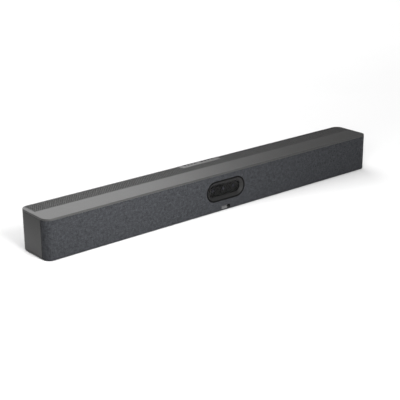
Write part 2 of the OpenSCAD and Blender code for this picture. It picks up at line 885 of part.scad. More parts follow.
// Flat flexible cable from the camera board to the main board
module camera_flex() {
    back_y = cam_board_y + cam_board_t;
    low_z = window_z - cam_board_h / 2;
    land_y = board_y0 + flex_t;
    color("orange") translate([flex_w / 2, 0, 0]) rotate([90, 0, -90]) linear_extrude(flex_w) polygon([
        [-back_y, low_z + flex_tab], [-back_y - flex_t, low_z + flex_tab], [-back_y - flex_t, low_z],
        [-land_y - flex_t, deck_z + flex_t], [-land_y - flex_room, deck_z + flex_t],
        [-land_y - flex_room, deck_z], [-land_y, deck_z], [-back_y, low_z - flex_t]
    ]);
}

// Main board
module main_board() {
    color("darkgreen") difference() {
        block([-board_w / 2, board_w / 2], [board_y0, board_y1], [board_z, deck_z]);
        for (p = stand_places) rod_z(p[0], p[1], board_z - overrun, deck_z + overrun, shank_r + hole_gap);
    }
}

// Middles of the wire headers and shield cans on the right half of the main board
header_x = header_x_share * board_w;
mic_header_y = board_y0 + mic_header_share * board_d;
speaker_header_y = board_y0 + speaker_header_share * board_d;
can_x = can_x_share * board_w;
can_y = board_y0 + can_y_share * board_d;

// Processor, small chips and wire headers
module board_chips() {
    color("black") {
        block([-soc_w / 2, soc_w / 2], [soc_y0, soc_y0 + soc_w], [deck_z, deck_z + chip_h]);
        for (s = chip_shares) translate([s[0] * board_w, board_y0 + s[1] * board_d, deck_z])
            cube([s[2] * board_w, s[3] * board_d, s[4] * board_d]);
        both_sides() for (y = [mic_header_y, speaker_header_y])
            block([header_x - header_w / 2, header_x + header_w / 2], [y - header_w / 2, y + header_w / 2],
                [deck_z, deck_z + header_h]);
    }
}

// Soft pad between the processor and the heat sink
module thermal_pad() {
    color("lightblue") block([-soc_w / 2, soc_w / 2], [soc_y0, soc_y0 + soc_w],
        [deck_z + chip_h, sink_z0]);
}

// Heat sink with upright fins
module heat_sink() {
    fin_step = (sink_w - fin_t) / (fin_count - 1);
    color("silver") {
        block([-sink_w / 2, sink_w / 2], [sink_y0, sink_y0 + sink_d], [sink_z0, sink_z0 + sink_base]);
        for (i = [0 : fin_count - 1]) {
            x = i * fin_step - sink_w / 2;
            block([x, x + fin_t], [sink_y0, sink_y0 + sink_d], [sink_z0, sink_z0 + sink_h]);
        }
    }
}

// Shield cans over the radio parts
module shield_can() {
    color("lightsteelblue") both_sides() block([can_x - rf_w / 2, can_x + rf_w / 2],
        [can_y - rf_d / 2, can_y + rf_d / 2], [deck_z, deck_z + rf_h]);
}

// Hole for a socket in the socket plate
module socket_hole(x, w, h) {
    block([x - w / 2 - port_gap, x + w / 2 + port_gap], [shield_y - shield_t - overrun, shield_y + overrun],
        [deck_z - port_gap, deck_z + h + port_gap]);
}

// Metal plate at the inner side of the socket bay
module io_shield() {
    color("lightsteelblue") difference() {
        block([-bay_w / 2 - bay_wall, bay_w / 2 + bay_wall], [shield_y - shield_t, shield_y],
            [floor_z, bay_z + bay_wall]);
        socket_hole(dc_x, dc_w, dc_h);
        socket_hole(lan_x, lan_w, lan_h);
        for (i = [0, 1]) socket_hole(hdmi_x + i * hdmi_pitch, hdmi_w, hdmi_h);
        socket_hole(usb_c_x, usb_c_w, usb_c_h);
        socket_hole(usb_a_x, usb_a_w, usb_a_h);
        rod_y(audio_x, deck_z + audio_h / 2, shield_y - shield_t - overrun, shield_y + overrun,
            audio_nose_r + port_gap);
        rod_y(power_x, deck_z + power_z, shield_y - shield_t - overrun, shield_y + overrun,
            power_r + button_gap);
        rod_y(reset_x, deck_z + reset_z, shield_y - shield_t - overrun, shield_y + overrun, reset_hole_r);
    }
}

// Body of a socket on the main board
module socket_body(x, w, h, l) {
    block([x - w / 2, x + w / 2], [mouth_y - l, mouth_y], [deck_z, deck_z + h]);
}

// Power inlet with its centre pin
module dc_jack() {
    z = deck_z + dc_h / 2;
    color("black") {
        difference() {
            socket_body(dc_x, dc_w, dc_h, dc_l);
            rod_y(dc_x, z, mouth_y - dc_deep, mouth_y + overrun, dc_r);
        }
        rod_y(dc_x, z, mouth_y - dc_l + socket_wall, mouth_y - tongue_in, dc_pin_r);
    }
}

// Network socket with its latch notch
module lan_port() {
    z0 = deck_z + lan_wall;
    color("silver") difference() {
        socket_body(lan_x, lan_w, lan_h, lan_l);
        block([lan_x - lan_hole_w / 2, lan_x + lan_hole_w / 2], [mouth_y - lan_deep, mouth_y + overrun],
            [z0, z0 + lan_hole_h]);
        block([lan_x - lan_latch_w / 2, lan_x + lan_latch_w / 2], [mouth_y - lan_deep, mouth_y + overrun],
            [z0, z0 + lan_hole_h + lan_latch_h]);
    }
}

// Flat socket with a thin wall and a tongue inside, at a share of the cavity's height
module tongue_socket(x, w, h, l, tongue_share) {
    cavity_h = h - 2 * socket_wall;
    tongue_z = deck_z + socket_wall + tongue_share * (cavity_h - tongue_t);
    difference() {
        socket_body(x, w, h, l);
        block([x - w / 2 + socket_wall, x + w / 2 - socket_wall],
            [mouth_y - l + tongue_in, mouth_y + overrun], [deck_z + socket_wall, deck_z + h - socket_wall]);
    }
    block([x - w / 2 + tongue_set, x + w / 2 - tongue_set],
        [mouth_y - l + tongue_in / 2, mouth_y - tongue_in / 2], [tongue_z, tongue_z + tongue_t]);
}

module hdmi_ports() {
    color("silver") for (i = [0, 1]) tongue_socket(hdmi_x + i * hdmi_pitch, hdmi_w, hdmi_h, hdmi_l, 0.5);
}

module usb_a_port() {
    color("silver") tongue_socket(usb_a_x, usb_a_w, usb_a_h, usb_a_l, 0.8);
}

// Small oval socket with a tongue inside
module usb_c_port() {
    z = deck_z + usb_c_h / 2;
    color("silver") {
        difference() {
            through_y(mouth_y - usb_c_l, mouth_y) translate([usb_c_x, z]) stadium(usb_c_w, usb_c_h);
            through_y(mouth_y - usb_c_l + tongue_in, mouth_y + overrun) translate([usb_c_x, z])
                stadium(usb_c_w - 2 * socket_wall, usb_c_h - 2 * socket_wall);
        }
        block([usb_c_x - usb_c_w / 2 + tongue_set, usb_c_x + usb_c_w / 2 - tongue_set],
            [mouth_y - usb_c_l + tongue_in / 2, mouth_y - tongue_in / 2],
            [z - tongue_t / 2, z + tongue_t / 2]);
    }
}

// Audio socket with a round nose through the socket plate
module audio_jack() {
    z = deck_z + audio_h / 2;
    color("black") difference() {
        union() {
            block([audio_x - audio_w / 2, audio_x + audio_w / 2],
                [mouth_y - audio_l, mouth_y - audio_nose_l], [deck_z, deck_z + audio_h]);
            rod_y(audio_x, z, mouth_y - audio_l, mouth_y, audio_nose_r);
        }
        rod_y(audio_x, z, mouth_y - audio_deep, mouth_y + overrun, audio_r);
    }
}

// Power button, held behind the socket plate by its collar
module power_button() {
    z = deck_z + power_z;
    color("dimgray") {
        rod_y(power_x, z, button_y - power_collar_t, shield_y + power_out, power_r);
        rod_y(power_x, z, button_y - power_collar_t, button_y, power_r + power_collar);
    }
}

// Reset button behind its pin hole
module reset_button() {
    color("firebrick") rod_y(reset_x, deck_z + reset_z, button_y - reset_l, button_y, reset_r);
}

// Switch that a button presses, with the tip of its plunger just past the button's travel
module switch(x, z, button_end, travel) {
    tip_y = button_end - travel - slide;
    block([x - switch_w / 2, x + switch_w / 2], [tip_y - plunger_l - switch_d, tip_y - plunger_l],
        [deck_z, z + switch_h]);
    rod_y(x, z, tip_y - plunger_l - switch_d / 2, tip_y, plunger_r);
}

module board_switches() {
    color("black") {
        switch(power_x, deck_z + power_z, button_y - power_collar_t, power_travel);
        switch(reset_x, deck_z + reset_z, button_y - reset_l, reset_travel);
    }
}

// Microphone boards, their rubber boots and the microphones on their backs
mic_board_y = frame_back_y + boot_t;
mic_back_y = mic_board_y + mic_board_t;

module mic_board() {
    color("darkgreen") difference() {
        block([mic_places[0] - mic_end, mic_places[mic_count - 1] + mic_end], [mic_board_y, mic_back_y],
            [mic_z - mic_row_h / 2, mic_z + mic_row_h / 2]);
        for (x = mic_places) rod_y(x, mic_z, mic_board_y - overrun, mic_back_y + overrun, mic_hole_r);
    }
}

module mic_boards() both_sides() mic_board();

module mic_boots() {
    color("black") both_sides() for (x = mic_places) difference() {
        rod_y(x, mic_z, frame_back_y, mic_board_y, boot_r);
        rod_y(x, mic_z, frame_back_y - overrun, mic_board_y + overrun, mic_hole_r);
    }
}

module mic_capsules() {
    color("gold") both_sides() for (x = mic_places) block([x - can_w / 2, x + can_w / 2],
        [mic_back_y, mic_back_y + can_t], [mic_z - can_h / 2, mic_z + can_h / 2]);
}

// Closed loudspeaker box with inner bosses for the case screws and rear bosses for the rear screws
module speaker_box() {
    color("black") difference() {
        union() {
            difference() {
                block([box_x0, box_x1], [box_y0, box_y1], [seat_z, box_z1]);
                block([box_x0 + box_t, box_x1 - box_t], [box_y0 + box_t, box_y1 - box_t],
                    [seat_z + box_t, box_z1 - box_t]);
            }
            for (p = box_boss_places) rod_z(p[0], p[1], seat_z, seat_z + box_boss_h, boss_r);
            for (x = rear_screw_places)
                rod_y(x, rear_screw_z, box_y1 - box_t / 2, rear_y - wall_t, rear_boss_r);
        }
        rod_y(box_x, driver_z, box_y0 - overrun, box_y0 + box_t + overrun, basket_r + fit);
        for (p = box_boss_places) shank_hole(p, seat_z, box_hole_l);
        for (x = rear_screw_places) rod_y(x, rear_screw_z, rear_y - wall_t - rear_hole_l,
            rear_y, shank_r + shank_gap);
    }
}

module left_speaker_box() mirror([1, 0, 0]) speaker_box();
module right_speaker_box() speaker_box();

// Place of the right loudspeaker: its axis points forward and starts at the box's front
module at_driver() {
    translate([box_x, box_y0, driver_z]) rotate([90, 0, 0]) children();
}

// Basket: flange on the box's front, pierced wall and a floor with a hole for the coil
module speaker_frame() {
    color("dimgray") at_driver() difference() {
        union() {
            cylinder(h = flange_t, r = driver_r);
            translate([0, 0, -basket_d]) cylinder(h = basket_d, r = basket_r);
        }
        translate([0, 0, basket_floor - basket_d]) cylinder(h = basket_d + flange_t, r = basket_r - basket_t);
        translate([0, 0, -basket_d - overrun]) cylinder(h = basket_d, r = gap_r);
        for (i = [0 : basket_gaps - 1]) rotate([0, 0, i * 360 / basket_gaps])
            translate([0, -basket_gap_w / 2, basket_floor - basket_d])
                cube([driver_r, basket_gap_w, basket_d - basket_floor - box_t]);
    }
}

module left_speaker_frame() mirror([1, 0, 0]) speaker_frame();
module right_speaker_frame() speaker_frame();

// Cone, dust cap and coil former in one turned piece
module speaker_cone() {
    neck_z = flange_t - cone_depth;
    cap_z = neck_z + cone_t + (cap_r - coil_r) * (cone_depth - cone_t) / (cone_r - coil_r);
    color("black") at_driver() rotate_extrude() polygon([
        [coil_r, neck_z - coil_l], [coil_r, neck_z], [cone_r, flange_t - cone_t], [cone_r, flange_t],
        [cap_r, cap_z], [0, cap_z + cap_h], [0, cap_z + cap_h - cone_t], [coil_r - coil_t, neck_z],
        [coil_r - coil_t, neck_z - coil_l]
    ]);
}

module left_speaker_cone() mirror([1, 0, 0]) speaker_cone();
module right_speaker_cone() speaker_cone();

// Rubber roll round each cone, with its lip on the basket's flange
module speaker_surrounds() {
    roll_r = roll_w / 2;
    mid_r = basket_r - basket_t - roll_r;
    color("black") both_sides() at_driver() translate([0, 0, flange_t]) rotate_extrude() {
        intersection() {
            translate([mid_r, 0]) difference() {
                circle(r = roll_r);
                circle(r = roll_r - roll_t);
            }
            translate([mid_r - roll_r, 0]) square([roll_w, roll_r]);
        }
        translate([mid_r + roll_r - roll_t / 2, 0]) square([roll_lip, roll_lip_t]);
    }
}

// Ring magnet with its rear plate and pole, behind each basket
module speaker_magnets() {
    color("gray") both_sides() at_driver() translate([0, 0, -basket_d - magnet_h]) {
        difference() {
            cylinder(h = magnet_h, r = magnet_r);
            translate([0, 0, magnet_lid]) cylinder(h = magnet_h, r = gap_r);
        }
        cylinder(h = magnet_h, r = pole_r);
    }
}

// Foam ring between each basket's flange and the cloth frame
module speaker_gaskets() {
    color("black") both_sides() at_driver() difference() {
        translate([0, 0, flange_t]) cylinder(h = box_front - flange_t, r = driver_r);
        cylinder(h = box_front + overrun, r = driver_r - gasket_w);
    }
}

// Flat antennas on the rear cover's inner face
antenna_y = rear_y - wall_t - antenna_t;

module antennas() {
    color("goldenrod") both_sides() block([antenna_x - antenna_w / 2, antenna_x + antenna_w / 2],
        [antenna_y, rear_y - wall_t], [antenna_z - antenna_h / 2, antenna_z + antenna_h / 2]);
}

// Point on a smooth curve that leaves one place and reaches another in given directions
function curve_point(a, b, c, d, t) =
    pow(1 - t, 3) * a + 3 * pow(1 - t, 2) * t * b + 3 * (1 - t) * t * t * c + t * t * t * d;

// Direction of that curve
function curve_way(a, b, c, d, t) = let (
    v = pow(1 - t, 2) * (b - a) + 2 * (1 - t) * t * (c - b) + t * t * (d - c)
) v / norm(v);

// A wire along the curve from a to d, leaving towards b and arriving from c
module wire(a, b, c, d, r) {
    rings = [for (i = [0 : wire_steps]) let (
        t = i / wire_steps,
        way = curve_way(a, b, c, d, t),
        flat = cross(way, [0, 0, 1]),
        side = flat / norm(flat),
        up = cross(side, way)
    ) for (k = [0 : wire_sides - 1]) let (turn = 360 * k / wire_sides)
        curve_point(a, b, c, d, t) + r * (cos(turn) * side + sin(turn) * up)];
    walls = [for (i = [0 : wire_steps - 1]) for (k = [0 : wire_sides - 1]) let (
        p = i * wire_sides + k,
        q = i * wire_sides + (k + 1) % wire_sides
    ) each [[p, q + wire_sides, q], [p, p + wire_sides, q + wire_sides]]];
    first = [for (k = [1 : wire_sides - 2]) [0, k, k + 1]];
    base = wire_steps * wire_sides;
    last = [for (k = [1 : wire_sides - 2]) [base, base + k + 1, base + k]];
    polyhedron(points = rings, faces = concat(walls, first, last));
}

// Coaxial leads from the shield cans to the antennas
module antenna_leads() {
    x = can_x + rf_w / 2 - lead_in;
    y = can_y + rf_d / 2;
    z = deck_z + rf_h / 2;
    color("black") both_sides() wire([x, y, z], [x, y + lead_pull, z],
        [antenna_x, antenna_y - wire_pull, antenna_z], [antenna_x, antenna_y, antenna_z], lead_r);
}

// Wires from the main board to the loudspeaker boxes
module speaker_wires() {
    x = header_x + header_w / 2;
    z0 = deck_z + header_h / 2;
    z1 = driver_z;
    y = speaker_header_y;
    color("firebrick") both_sides() wire([x, y, z0], [x + wire_pull, y, z0],
        [box_x0 - wire_pull, y, z1], [box_x0, y, z1], wire_r);
}

// Cables from the main board to the backs of the microphone boards
module mic_cables() {
    x = header_x + header_w / 2;
    z = deck_z + header_h / 2;
    color("whitesmoke") both_sides() wire([x, mic_header_y, z], [x + wire_pull, mic_header_y, z],
        [mic_wire_x, mic_back_y + wire_pull, mic_z], [mic_wire_x, mic_back_y, mic_z], wire_r);
}

// Screw along z, with its head at the lower end
module screw_up(place, head_z, tip_z) {
    rod_z(place[0], place[1], head_z, head_z + head_h, head_r);
    rod_z(place[0], place[1], head_z + head_h / 2, tip_z, shank_r);
}

// Screws up through the base: long ones into the posts, shorter ones into the boxes and tabs
module case_screws() {
    z = foot_gap + head_sink;
    color("gray") both_sides() {
        for (p = cover_boss_places) screw_up(p, z, seat_z + shank_l - fit);
        for (p = box_boss_places) screw_up(p, z, seat_z + box_hole_l - fit);
        for (p = [cap_tab_place, frame_tab_place]) screw_up(p, z, seat_z + tab_hole_l - fit);
    }
}

// Screws through the rear cover into the loudspeaker boxes
module rear_screws() {
    y = rear_y - rear_head_set - rear_head_h;
    color("gray") both_sides() for (x = rear_screw_places) {
        rod_y(x, rear_screw_z, y, y + rear_head_h, head_r);
        rod_y(x, rear_screw_z, rear_y - wall_t - rear_hole_l + fit, y + rear_head_h / 2, shank_r);
    }
}

// Screws that hold the main board on its stands
module board_screws() {
    color("gray") for (p = stand_places) {
        rod_z(p[0], p[1], deck_z, deck_z + head_h, head_r);
        rod_z(p[0], p[1], floor_z + fit, deck_z + head_h / 2, shank_r);
    }
}

// Screws of the camera bracket and of the camera board
module camera_screws() {
    bracket_back_y = bracket_y + bracket_t;
    board_back_y = cam_board_y + cam_board_t;
    color("gray") for (sx = [-1, 1]) for (sz = [-1, 1]) {
        x0 = sx * bracket_post_x;
        z0 = window_z + sz * bracket_post_z;
        rod_y(x0, z0, bracket_back_y, bracket_back_y + small_head_h, small_head_r);
        rod_y(x0, z0, bracket_back_y - small_shank_l + fit, bracket_back_y + small_head_h / 2, small_shank_r);
        x1 = sx * board_post_x;
        z1 = window_z + sz * board_post_z;
        rod_y(x1, z1, board_back_y, board_back_y + small_head_h, small_head_r);
        rod_y(x1, z1, cam_board_y - small_shank_l + fit, board_back_y + small_head_h / 2, small_shank_r);
    }
}

top_cover();
cover_posts();
top_grille();
vent_bezel();
left_end_cap();
right_end_cap();
rear_cover();
base_tray();
feet();
grille_frame();
grille_fabric();
window_ring();
window_bezel();
window_glass();
shutter_blade();
shutter_knob();
camera_bracket();
camera_board();
left_lens();
centre_lens();
right_lens();
lens_elements();
camera_flex();
main_board();
board_chips();
thermal_pad();
heat_sink();
shield_can();
io_shield();
dc_jack();
lan_port();
hdmi_ports();
usb_c_port();
usb_a_port();
audio_jack();
power_button();
reset_button();
board_switches();
mic_boards();
mic_boots();
mic_capsules();
left_speaker_box();
right_speaker_box();
left_speaker_frame();
right_speaker_frame();
left_speaker_cone();
right_speaker_cone();
speaker_surrounds();
speaker_magnets();
speaker_gaskets();
antennas();
antenna_leads();
speaker_wires();
mic_cables();
case_screws();
rear_screws();
board_screws();
camera_screws();
wall_inserts();
lock_plate();
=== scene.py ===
# Conference camera bar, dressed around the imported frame. Metres, front towards -Y.
import math

import bmesh
import bpy
from mathutils import Matrix, Vector


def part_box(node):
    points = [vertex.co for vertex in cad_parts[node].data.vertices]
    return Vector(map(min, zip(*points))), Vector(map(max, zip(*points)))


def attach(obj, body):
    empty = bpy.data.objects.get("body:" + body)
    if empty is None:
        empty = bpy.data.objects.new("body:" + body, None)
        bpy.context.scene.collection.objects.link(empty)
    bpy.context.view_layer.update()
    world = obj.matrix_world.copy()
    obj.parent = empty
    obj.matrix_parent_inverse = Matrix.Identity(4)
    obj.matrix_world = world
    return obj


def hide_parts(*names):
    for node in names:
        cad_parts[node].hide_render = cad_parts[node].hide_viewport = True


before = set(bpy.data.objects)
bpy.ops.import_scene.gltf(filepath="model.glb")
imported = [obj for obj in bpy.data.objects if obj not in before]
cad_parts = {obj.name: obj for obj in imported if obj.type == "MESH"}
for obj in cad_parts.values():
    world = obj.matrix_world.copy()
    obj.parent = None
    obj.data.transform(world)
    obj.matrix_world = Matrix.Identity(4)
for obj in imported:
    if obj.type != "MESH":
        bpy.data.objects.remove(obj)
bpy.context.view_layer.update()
mm = 0.001


def addObject(name, data):
    obj = bpy.data.objects.new(name, data)
    bpy.context.collection.objects.link(obj)
    return obj


# Direction of a turn from +Y towards +X and a rise above level, in degrees
def heading(azimuth, rise):
    turn = math.radians(azimuth)
    rise = math.radians(rise)
    return Vector((math.sin(turn) * math.cos(rise), math.cos(turn) * math.cos(rise), math.sin(rise)))


# Camera at the photograph's angle
def addCamera():
    view = {"place": (-0.91053, -1.06665, 0.50502), "lens": 91.45, "sensor": 36, "azimuth": 39.8,
            "rise": -19.573, "roll": -0.354}
    roll = math.radians(view["roll"])
    forward = heading(view["azimuth"], view["rise"])
    level = forward.cross(Vector((0, 0, 1))).normalized()
    upright = level.cross(forward)
    right = math.cos(roll) * level + math.sin(roll) * upright
    up = math.cos(roll) * upright - math.sin(roll) * level
    camera = addObject("camera", bpy.data.cameras.new("camera"))
    camera.data.lens = view["lens"]
    camera.data.sensor_width = view["sensor"]
    turn = Matrix((right, up, -forward)).transposed().to_4x4()
    camera.matrix_world = Matrix.Translation(view["place"]) @ turn
    bpy.context.scene.camera = camera


addCamera()
print("camera placed")


# Node helpers: a socket takes another socket, a number or a colour, and None leaves it alone
def feed(socket, value):
    if isinstance(value, bpy.types.NodeSocket):
        socket.id_data.links.new(value, socket)
    elif value is not None:
        socket.default_value = value


def feedAll(sockets, values):
    for name, value in values.items():
        feed(sockets[name], value)


def addNode(tree, kind, values=None, **settings):
    node = tree.nodes.new(kind)
    for name, value in settings.items():
        setattr(node, name, value)
    feedAll(node.inputs, values or {})
    return node


def maths(operation, a, b=None, clamp=False):
    tree = (a if isinstance(a, bpy.types.NodeSocket) else b).id_data
    return addNode(tree, "ShaderNodeMath", {0: a, 1: b}, operation=operation, use_clamp=clamp).outputs[0]


def plus(a, b, clamp=False):
    return maths("ADD", a, b, clamp)


def minus(a, b, clamp=False):
    return maths("SUBTRACT", a, b, clamp)


def times(a, b, clamp=False):
    return maths("MULTIPLY", a, b, clamp)


def mixed(mask, a, b, kind="RGBA"):
    first, answer = (6, 2) if kind == "RGBA" else (2, 0)
    mix = addNode(mask.id_data, "ShaderNodeMix", {0: mask, first: a, first + 1: b}, data_type=kind)
    return mix.outputs[answer]


def vectorMath(operation, a, b):
    return addNode(a.id_data, "ShaderNodeVectorMath", {0: a, 1: b}, operation=operation)


def noise(vector, scale, detail, rough=0.5):
    return addNode(vector.id_data, "ShaderNodeTexNoise", {
        "Vector": vector, "Scale": scale, "Detail": detail, "Roughness": rough}).outputs[0]


# A group with named sockets: each has its default value, or the word for its kind where it has none
def newGroup(name, inputs, outputs, kind="ShaderNodeTree"):
    group = bpy.data.node_groups.new(name, kind)
    words = {bool: "Bool", int: "Int", float: "Float"}
    for way, sockets in (("INPUT", inputs), ("OUTPUT", outputs)):
        for label, value in sockets.items():
            if isinstance(value, str):
                word = value
            else:
                word = words.get(type(value)) or ("Color" if len(value) == 4 else "Vector")
            socket = group.interface.new_socket(label, in_out=way, socket_type="NodeSocket" + word)
            if word != value:
                socket.default_value = value
    return group, group.nodes.new("NodeGroupInput").outputs, group.nodes.new("NodeGroupOutput").inputs


# Fine moulded grain: a height for the bump and a soft mask
def makeGrainGroup():
    group, given, result = newGroup("moulded grain", {
        "Vector": "Vector", "Scale": 900.0, "Coarse Share": 0.35}, {"Height": "Float", "Mask": "Float"})
    fine = noise(given["Vector"], given["Scale"], 3.0, 0.6)
    scale = times(given["Scale"], given["Coarse Share"])
    coarse = addNode(group, "ShaderNodeTexVoronoi", {"Vector": given["Vector"], "Scale": scale},
                     feature="SMOOTH_F1")
    feedAll(result, {"Height": plus(fine, times(coarse.outputs[0], 0.5)), "Mask": fine})
    return group


# Slow, faint change of tone over a surface
def makeToneGroup():
    group, given, result = newGroup("tone drift", {
        "Vector": "Vector", "Dark": (0.1, 0.1, 0.1, 1), "Light": (0.2, 0.2, 0.2, 1), "Scale": 20.0},
        {"Color": "Color", "Mask": "Float"})
    drift = noise(given["Vector"], given["Scale"], 4.0, 0.55)
    feedAll(result, {"Color": mixed(drift, given["Dark"], given["Light"]), "Mask": drift})
    return group


# Rubbed edges: where a rounded normal turns away from the face's own
def makeWearGroup():
    group, given, result = newGroup("edge wear", {
        "Vector": "Vector", "Radius": 0.6 * mm, "Scale": 260.0, "Amount": 1.0}, {"Mask": "Float"})
    rounded = addNode(group, "ShaderNodeBevel", {"Radius": given["Radius"]}, samples=4)
    face = addNode(group, "ShaderNodeNewGeometry")
    alike = vectorMath("DOT_PRODUCT", rounded.outputs[0], face.outputs["Normal"]).outputs["Value"]
    sharp = times(minus(1.0, alike), 6.0, clamp=True)
    patchy = times(sharp, times(noise(given["Vector"], given["Scale"], 3.0), 1.4), clamp=True)
    feed(result["Mask"], times(patchy, given["Amount"], clamp=True))
    return group


# Thin dust that settles on faces that look up
def makeDustGroup():
    group, given, result = newGroup("settled dust", {"Vector": "Vector", "Scale": 120.0, "Amount": 0.1},
                                    {"Mask": "Float"})
    face = addNode(group, "ShaderNodeNewGeometry")
    split = addNode(group, "ShaderNodeSeparateXYZ", {0: face.outputs["Normal"]})
    upward = maths("MAXIMUM", split.outputs["Z"], 0.0)
    patchy = times(upward, noise(given["Vector"], given["Scale"], 6.0, 0.7))
    feed(result["Mask"], times(patchy, given["Amount"], clamp=True))
    return group


# Plain weave on a surface's own map, in metres: thread height, and the melange of its yarns
def makeWeaveGroup():
    group, given, result = newGroup("plain weave", {
        "Map": "Vector", "Thread": 0.7 * mm, "Yarn Length": 12 * mm},
        {"Height": "Float", "Warp": "Float", "Melange": "Float"})
    split = addNode(group, "ShaderNodeSeparateXYZ", {0: given["Map"]}).outputs
    turns = maths("DIVIDE", math.pi, given["Thread"])
    waves = [maths("SINE", times(split[axis], turns)) for axis in ("X", "Y")]
    over = maths("GREATER_THAN", times(*waves), 0.0)
    ridges = [maths("ABSOLUTE", wave) for wave in waves]
    melanges = []
    for stretch in ((1.0, 9.0, 1.0), (9.0, 1.0, 1.0)):
        scaled = vectorMath("MULTIPLY", given["Map"], stretch).outputs[0]
        melanges.append(noise(scaled, maths("DIVIDE", 1.0, given["Yarn Length"]), 2.0, 0.7))
    feedAll(result, {"Height": mixed(over, *ridges, "FLOAT"), "Warp": over,
                     "Melange": mixed(over, *melanges, "FLOAT")})
    return group


# Lines drawn along one direction, as on rolled or brushed metal
def makeBrushGroup():
    group, given, result = newGroup("brushed lines", {
        "Vector": "Vector", "Along": (0.02, 1.0, 1.0), "Scale": 1500.0}, {"Height": "Float"})
    scaled = vectorMath("MULTIPLY", given["Vector"], given["Along"]).outputs[0]
    feed(result["Height"], noise(scaled, given["Scale"], 2.0))
    return group


grainGroup = makeGrainGroup()
toneGroup = makeToneGroup()
wearGroup = makeWearGroup()
dustGroup = makeDustGroup()
weaveGroup = makeWeaveGroup()
brushGroup = makeBrushGroup()


def addGroup(group, vector, values=None):
    return addNode(vector.id_data, "ShaderNodeGroup", {0: vector, **(values or {})}, node_tree=group).outputs


def newMaterial(name, values):
    material = bpy.data.materials.new(name)
    material.use_nodes = True
    tree = material.node_tree
    shader = tree.nodes["Principled BSDF"].inputs
    feedAll(shader, values)
    return material, shader, tree.nodes.new("ShaderNodeTexCoord").outputs["Object"]


# A grey from one number, or a colour from three
def tint(value, warm=0.0):
    return (*value, 1) if isinstance(value, tuple) else (value * (1 + warm), value, value * (1 - warm), 1)


# Bump from a height; its relief is in millimetres
def bump(height, relief):
    return addNode(height.id_data, "ShaderNodeBump", {"Height": height, "Distance": relief * mm}).outputs[0]


# Moulded plastic: tone drift, grain in the bump and the roughness, rubbed edges, a little dust
def mouldedPlastic(name, dark, light, rough, warm=0.0, relief=0.02, wear=0.35, dust=0.08, worn=None,
                   specular=0.5):
    material, shader, place = newMaterial(name, {"Specular IOR Level": specular})
    light = tint(light, warm)
    worn = tint(worn) if worn else (*(min(1.0, 1.9 * c) for c in light[:3]), 1)
    tone = addGroup(toneGroup, place, {"Dark": tint(dark, warm), "Light": light, "Scale": 35.0})
    grain = addGroup(grainGroup, place)
    rubbed = addGroup(wearGroup, place, {"Amount": wear})["Mask"]
    settled = addGroup(dustGroup, place, {"Amount": dust})["Mask"]
    roughness = minus(plus(times(grain["Mask"], 0.16), rough - 0.08), times(rubbed, 0.1))
    feedAll(shader, {"Base Color": mixed(settled, mixed(rubbed, tone["Color"], worn), tint(0.3)),
                     "Roughness": plus(roughness, times(settled, 0.5), clamp=True),
                     "Normal": bump(grain["Height"], relief)})
    return material


# Metal with brushed lines and a faint drift of tone
def sheetMetal(name, dark, light, rough, along=(0.02, 1.0, 1.0)):
    material, shader, place = newMaterial(name, {"Metallic": 1.0})
    tone = addGroup(toneGroup, place, {"Dark": tint(dark), "Light": tint(light), "Scale": 60.0})
    lines = addGroup(brushGroup, place, {"Along": along})["Height"]
    feedAll(shader, {"Base Color": tone["Color"], "Roughness": plus(times(lines, 0.2), rough - 0.1),
                     "Normal": bump(lines, 0.008)})
    return material


# Matt rubber, foam or film
def softMatter(name, dark, light, grain=700.0, relief=0.06):
    material, shader, place = newMaterial(name, {"Specular IOR Level": 0.3})
    tone = addGroup(toneGroup, place, {"Dark": tint(dark), "Light": tint(light), "Scale": 90.0})
    pores = addGroup(grainGroup, place, {"Scale": grain})
    feedAll(shader, {"Base Color": tone["Color"], "Roughness": plus(times(pores["Mask"], 0.2), 0.7),
                     "Normal": bump(pores["Height"], relief)})
    return material


# Woven cloth on its own map: threads, two-tone yarns, painted shade in the gaps between threads, and a soft
# sheen seen at an angle
def wovenCloth():
    tones = {"dark": (0.0115, 0.0122, 0.0136), "light": (0.064, 0.067, 0.074), "gap": (0.006, 0.006, 0.007),
             "thread": 0.7 * mm, "yarn": 8 * mm, "relief": 0.12, "contrast": 3.2, "cloud": 230.0,
             "cloudShare": 0.3, "gapCurve": 0.6, "gapShadeShare": 0.55, "rough": 0.78, "roughSpread": 0.2}
    material, shader = newMaterial("cloth", {
        "Specular IOR Level": 0.12, "Sheen Weight": 0.25, "Sheen Roughness": 0.32,
        "Sheen Tint": (0.36, 0.37, 0.40, 1)})[:2]
    flatMap = addNode(material.node_tree, "ShaderNodeUVMap", uv_map="flat").outputs[0]
    weave = addGroup(weaveGroup, flatMap, {"Thread": tones["thread"], "Yarn Length": tones["yarn"]})
    cloud = times(noise(flatMap, tones["cloud"], 4.0, 0.6), tones["cloudShare"])
    melange = plus(times(weave["Melange"], 1 - tones["cloudShare"]), cloud)
    spread = plus(times(minus(melange, 0.5), tones["contrast"]), 0.5, clamp=True)
    yarns = mixed(spread, tint(tones["dark"]), tint(tones["light"]))
    # Painted shade: the dips between threads are darkened towards the gap colour
    between = minus(1.0, maths("POWER", weave["Height"], tones["gapCurve"]), clamp=True)
    paintedGapShade = times(between, tones["gapShadeShare"])
    feedAll(shader, {"Base Color": mixed(paintedGapShade, yarns, tint(tones["gap"])),
                     "Roughness": plus(tones["rough"], times(weave["Melange"], tones["roughSpread"])),
                     "Normal": bump(weave["Height"], tones["relief"])})
    return material


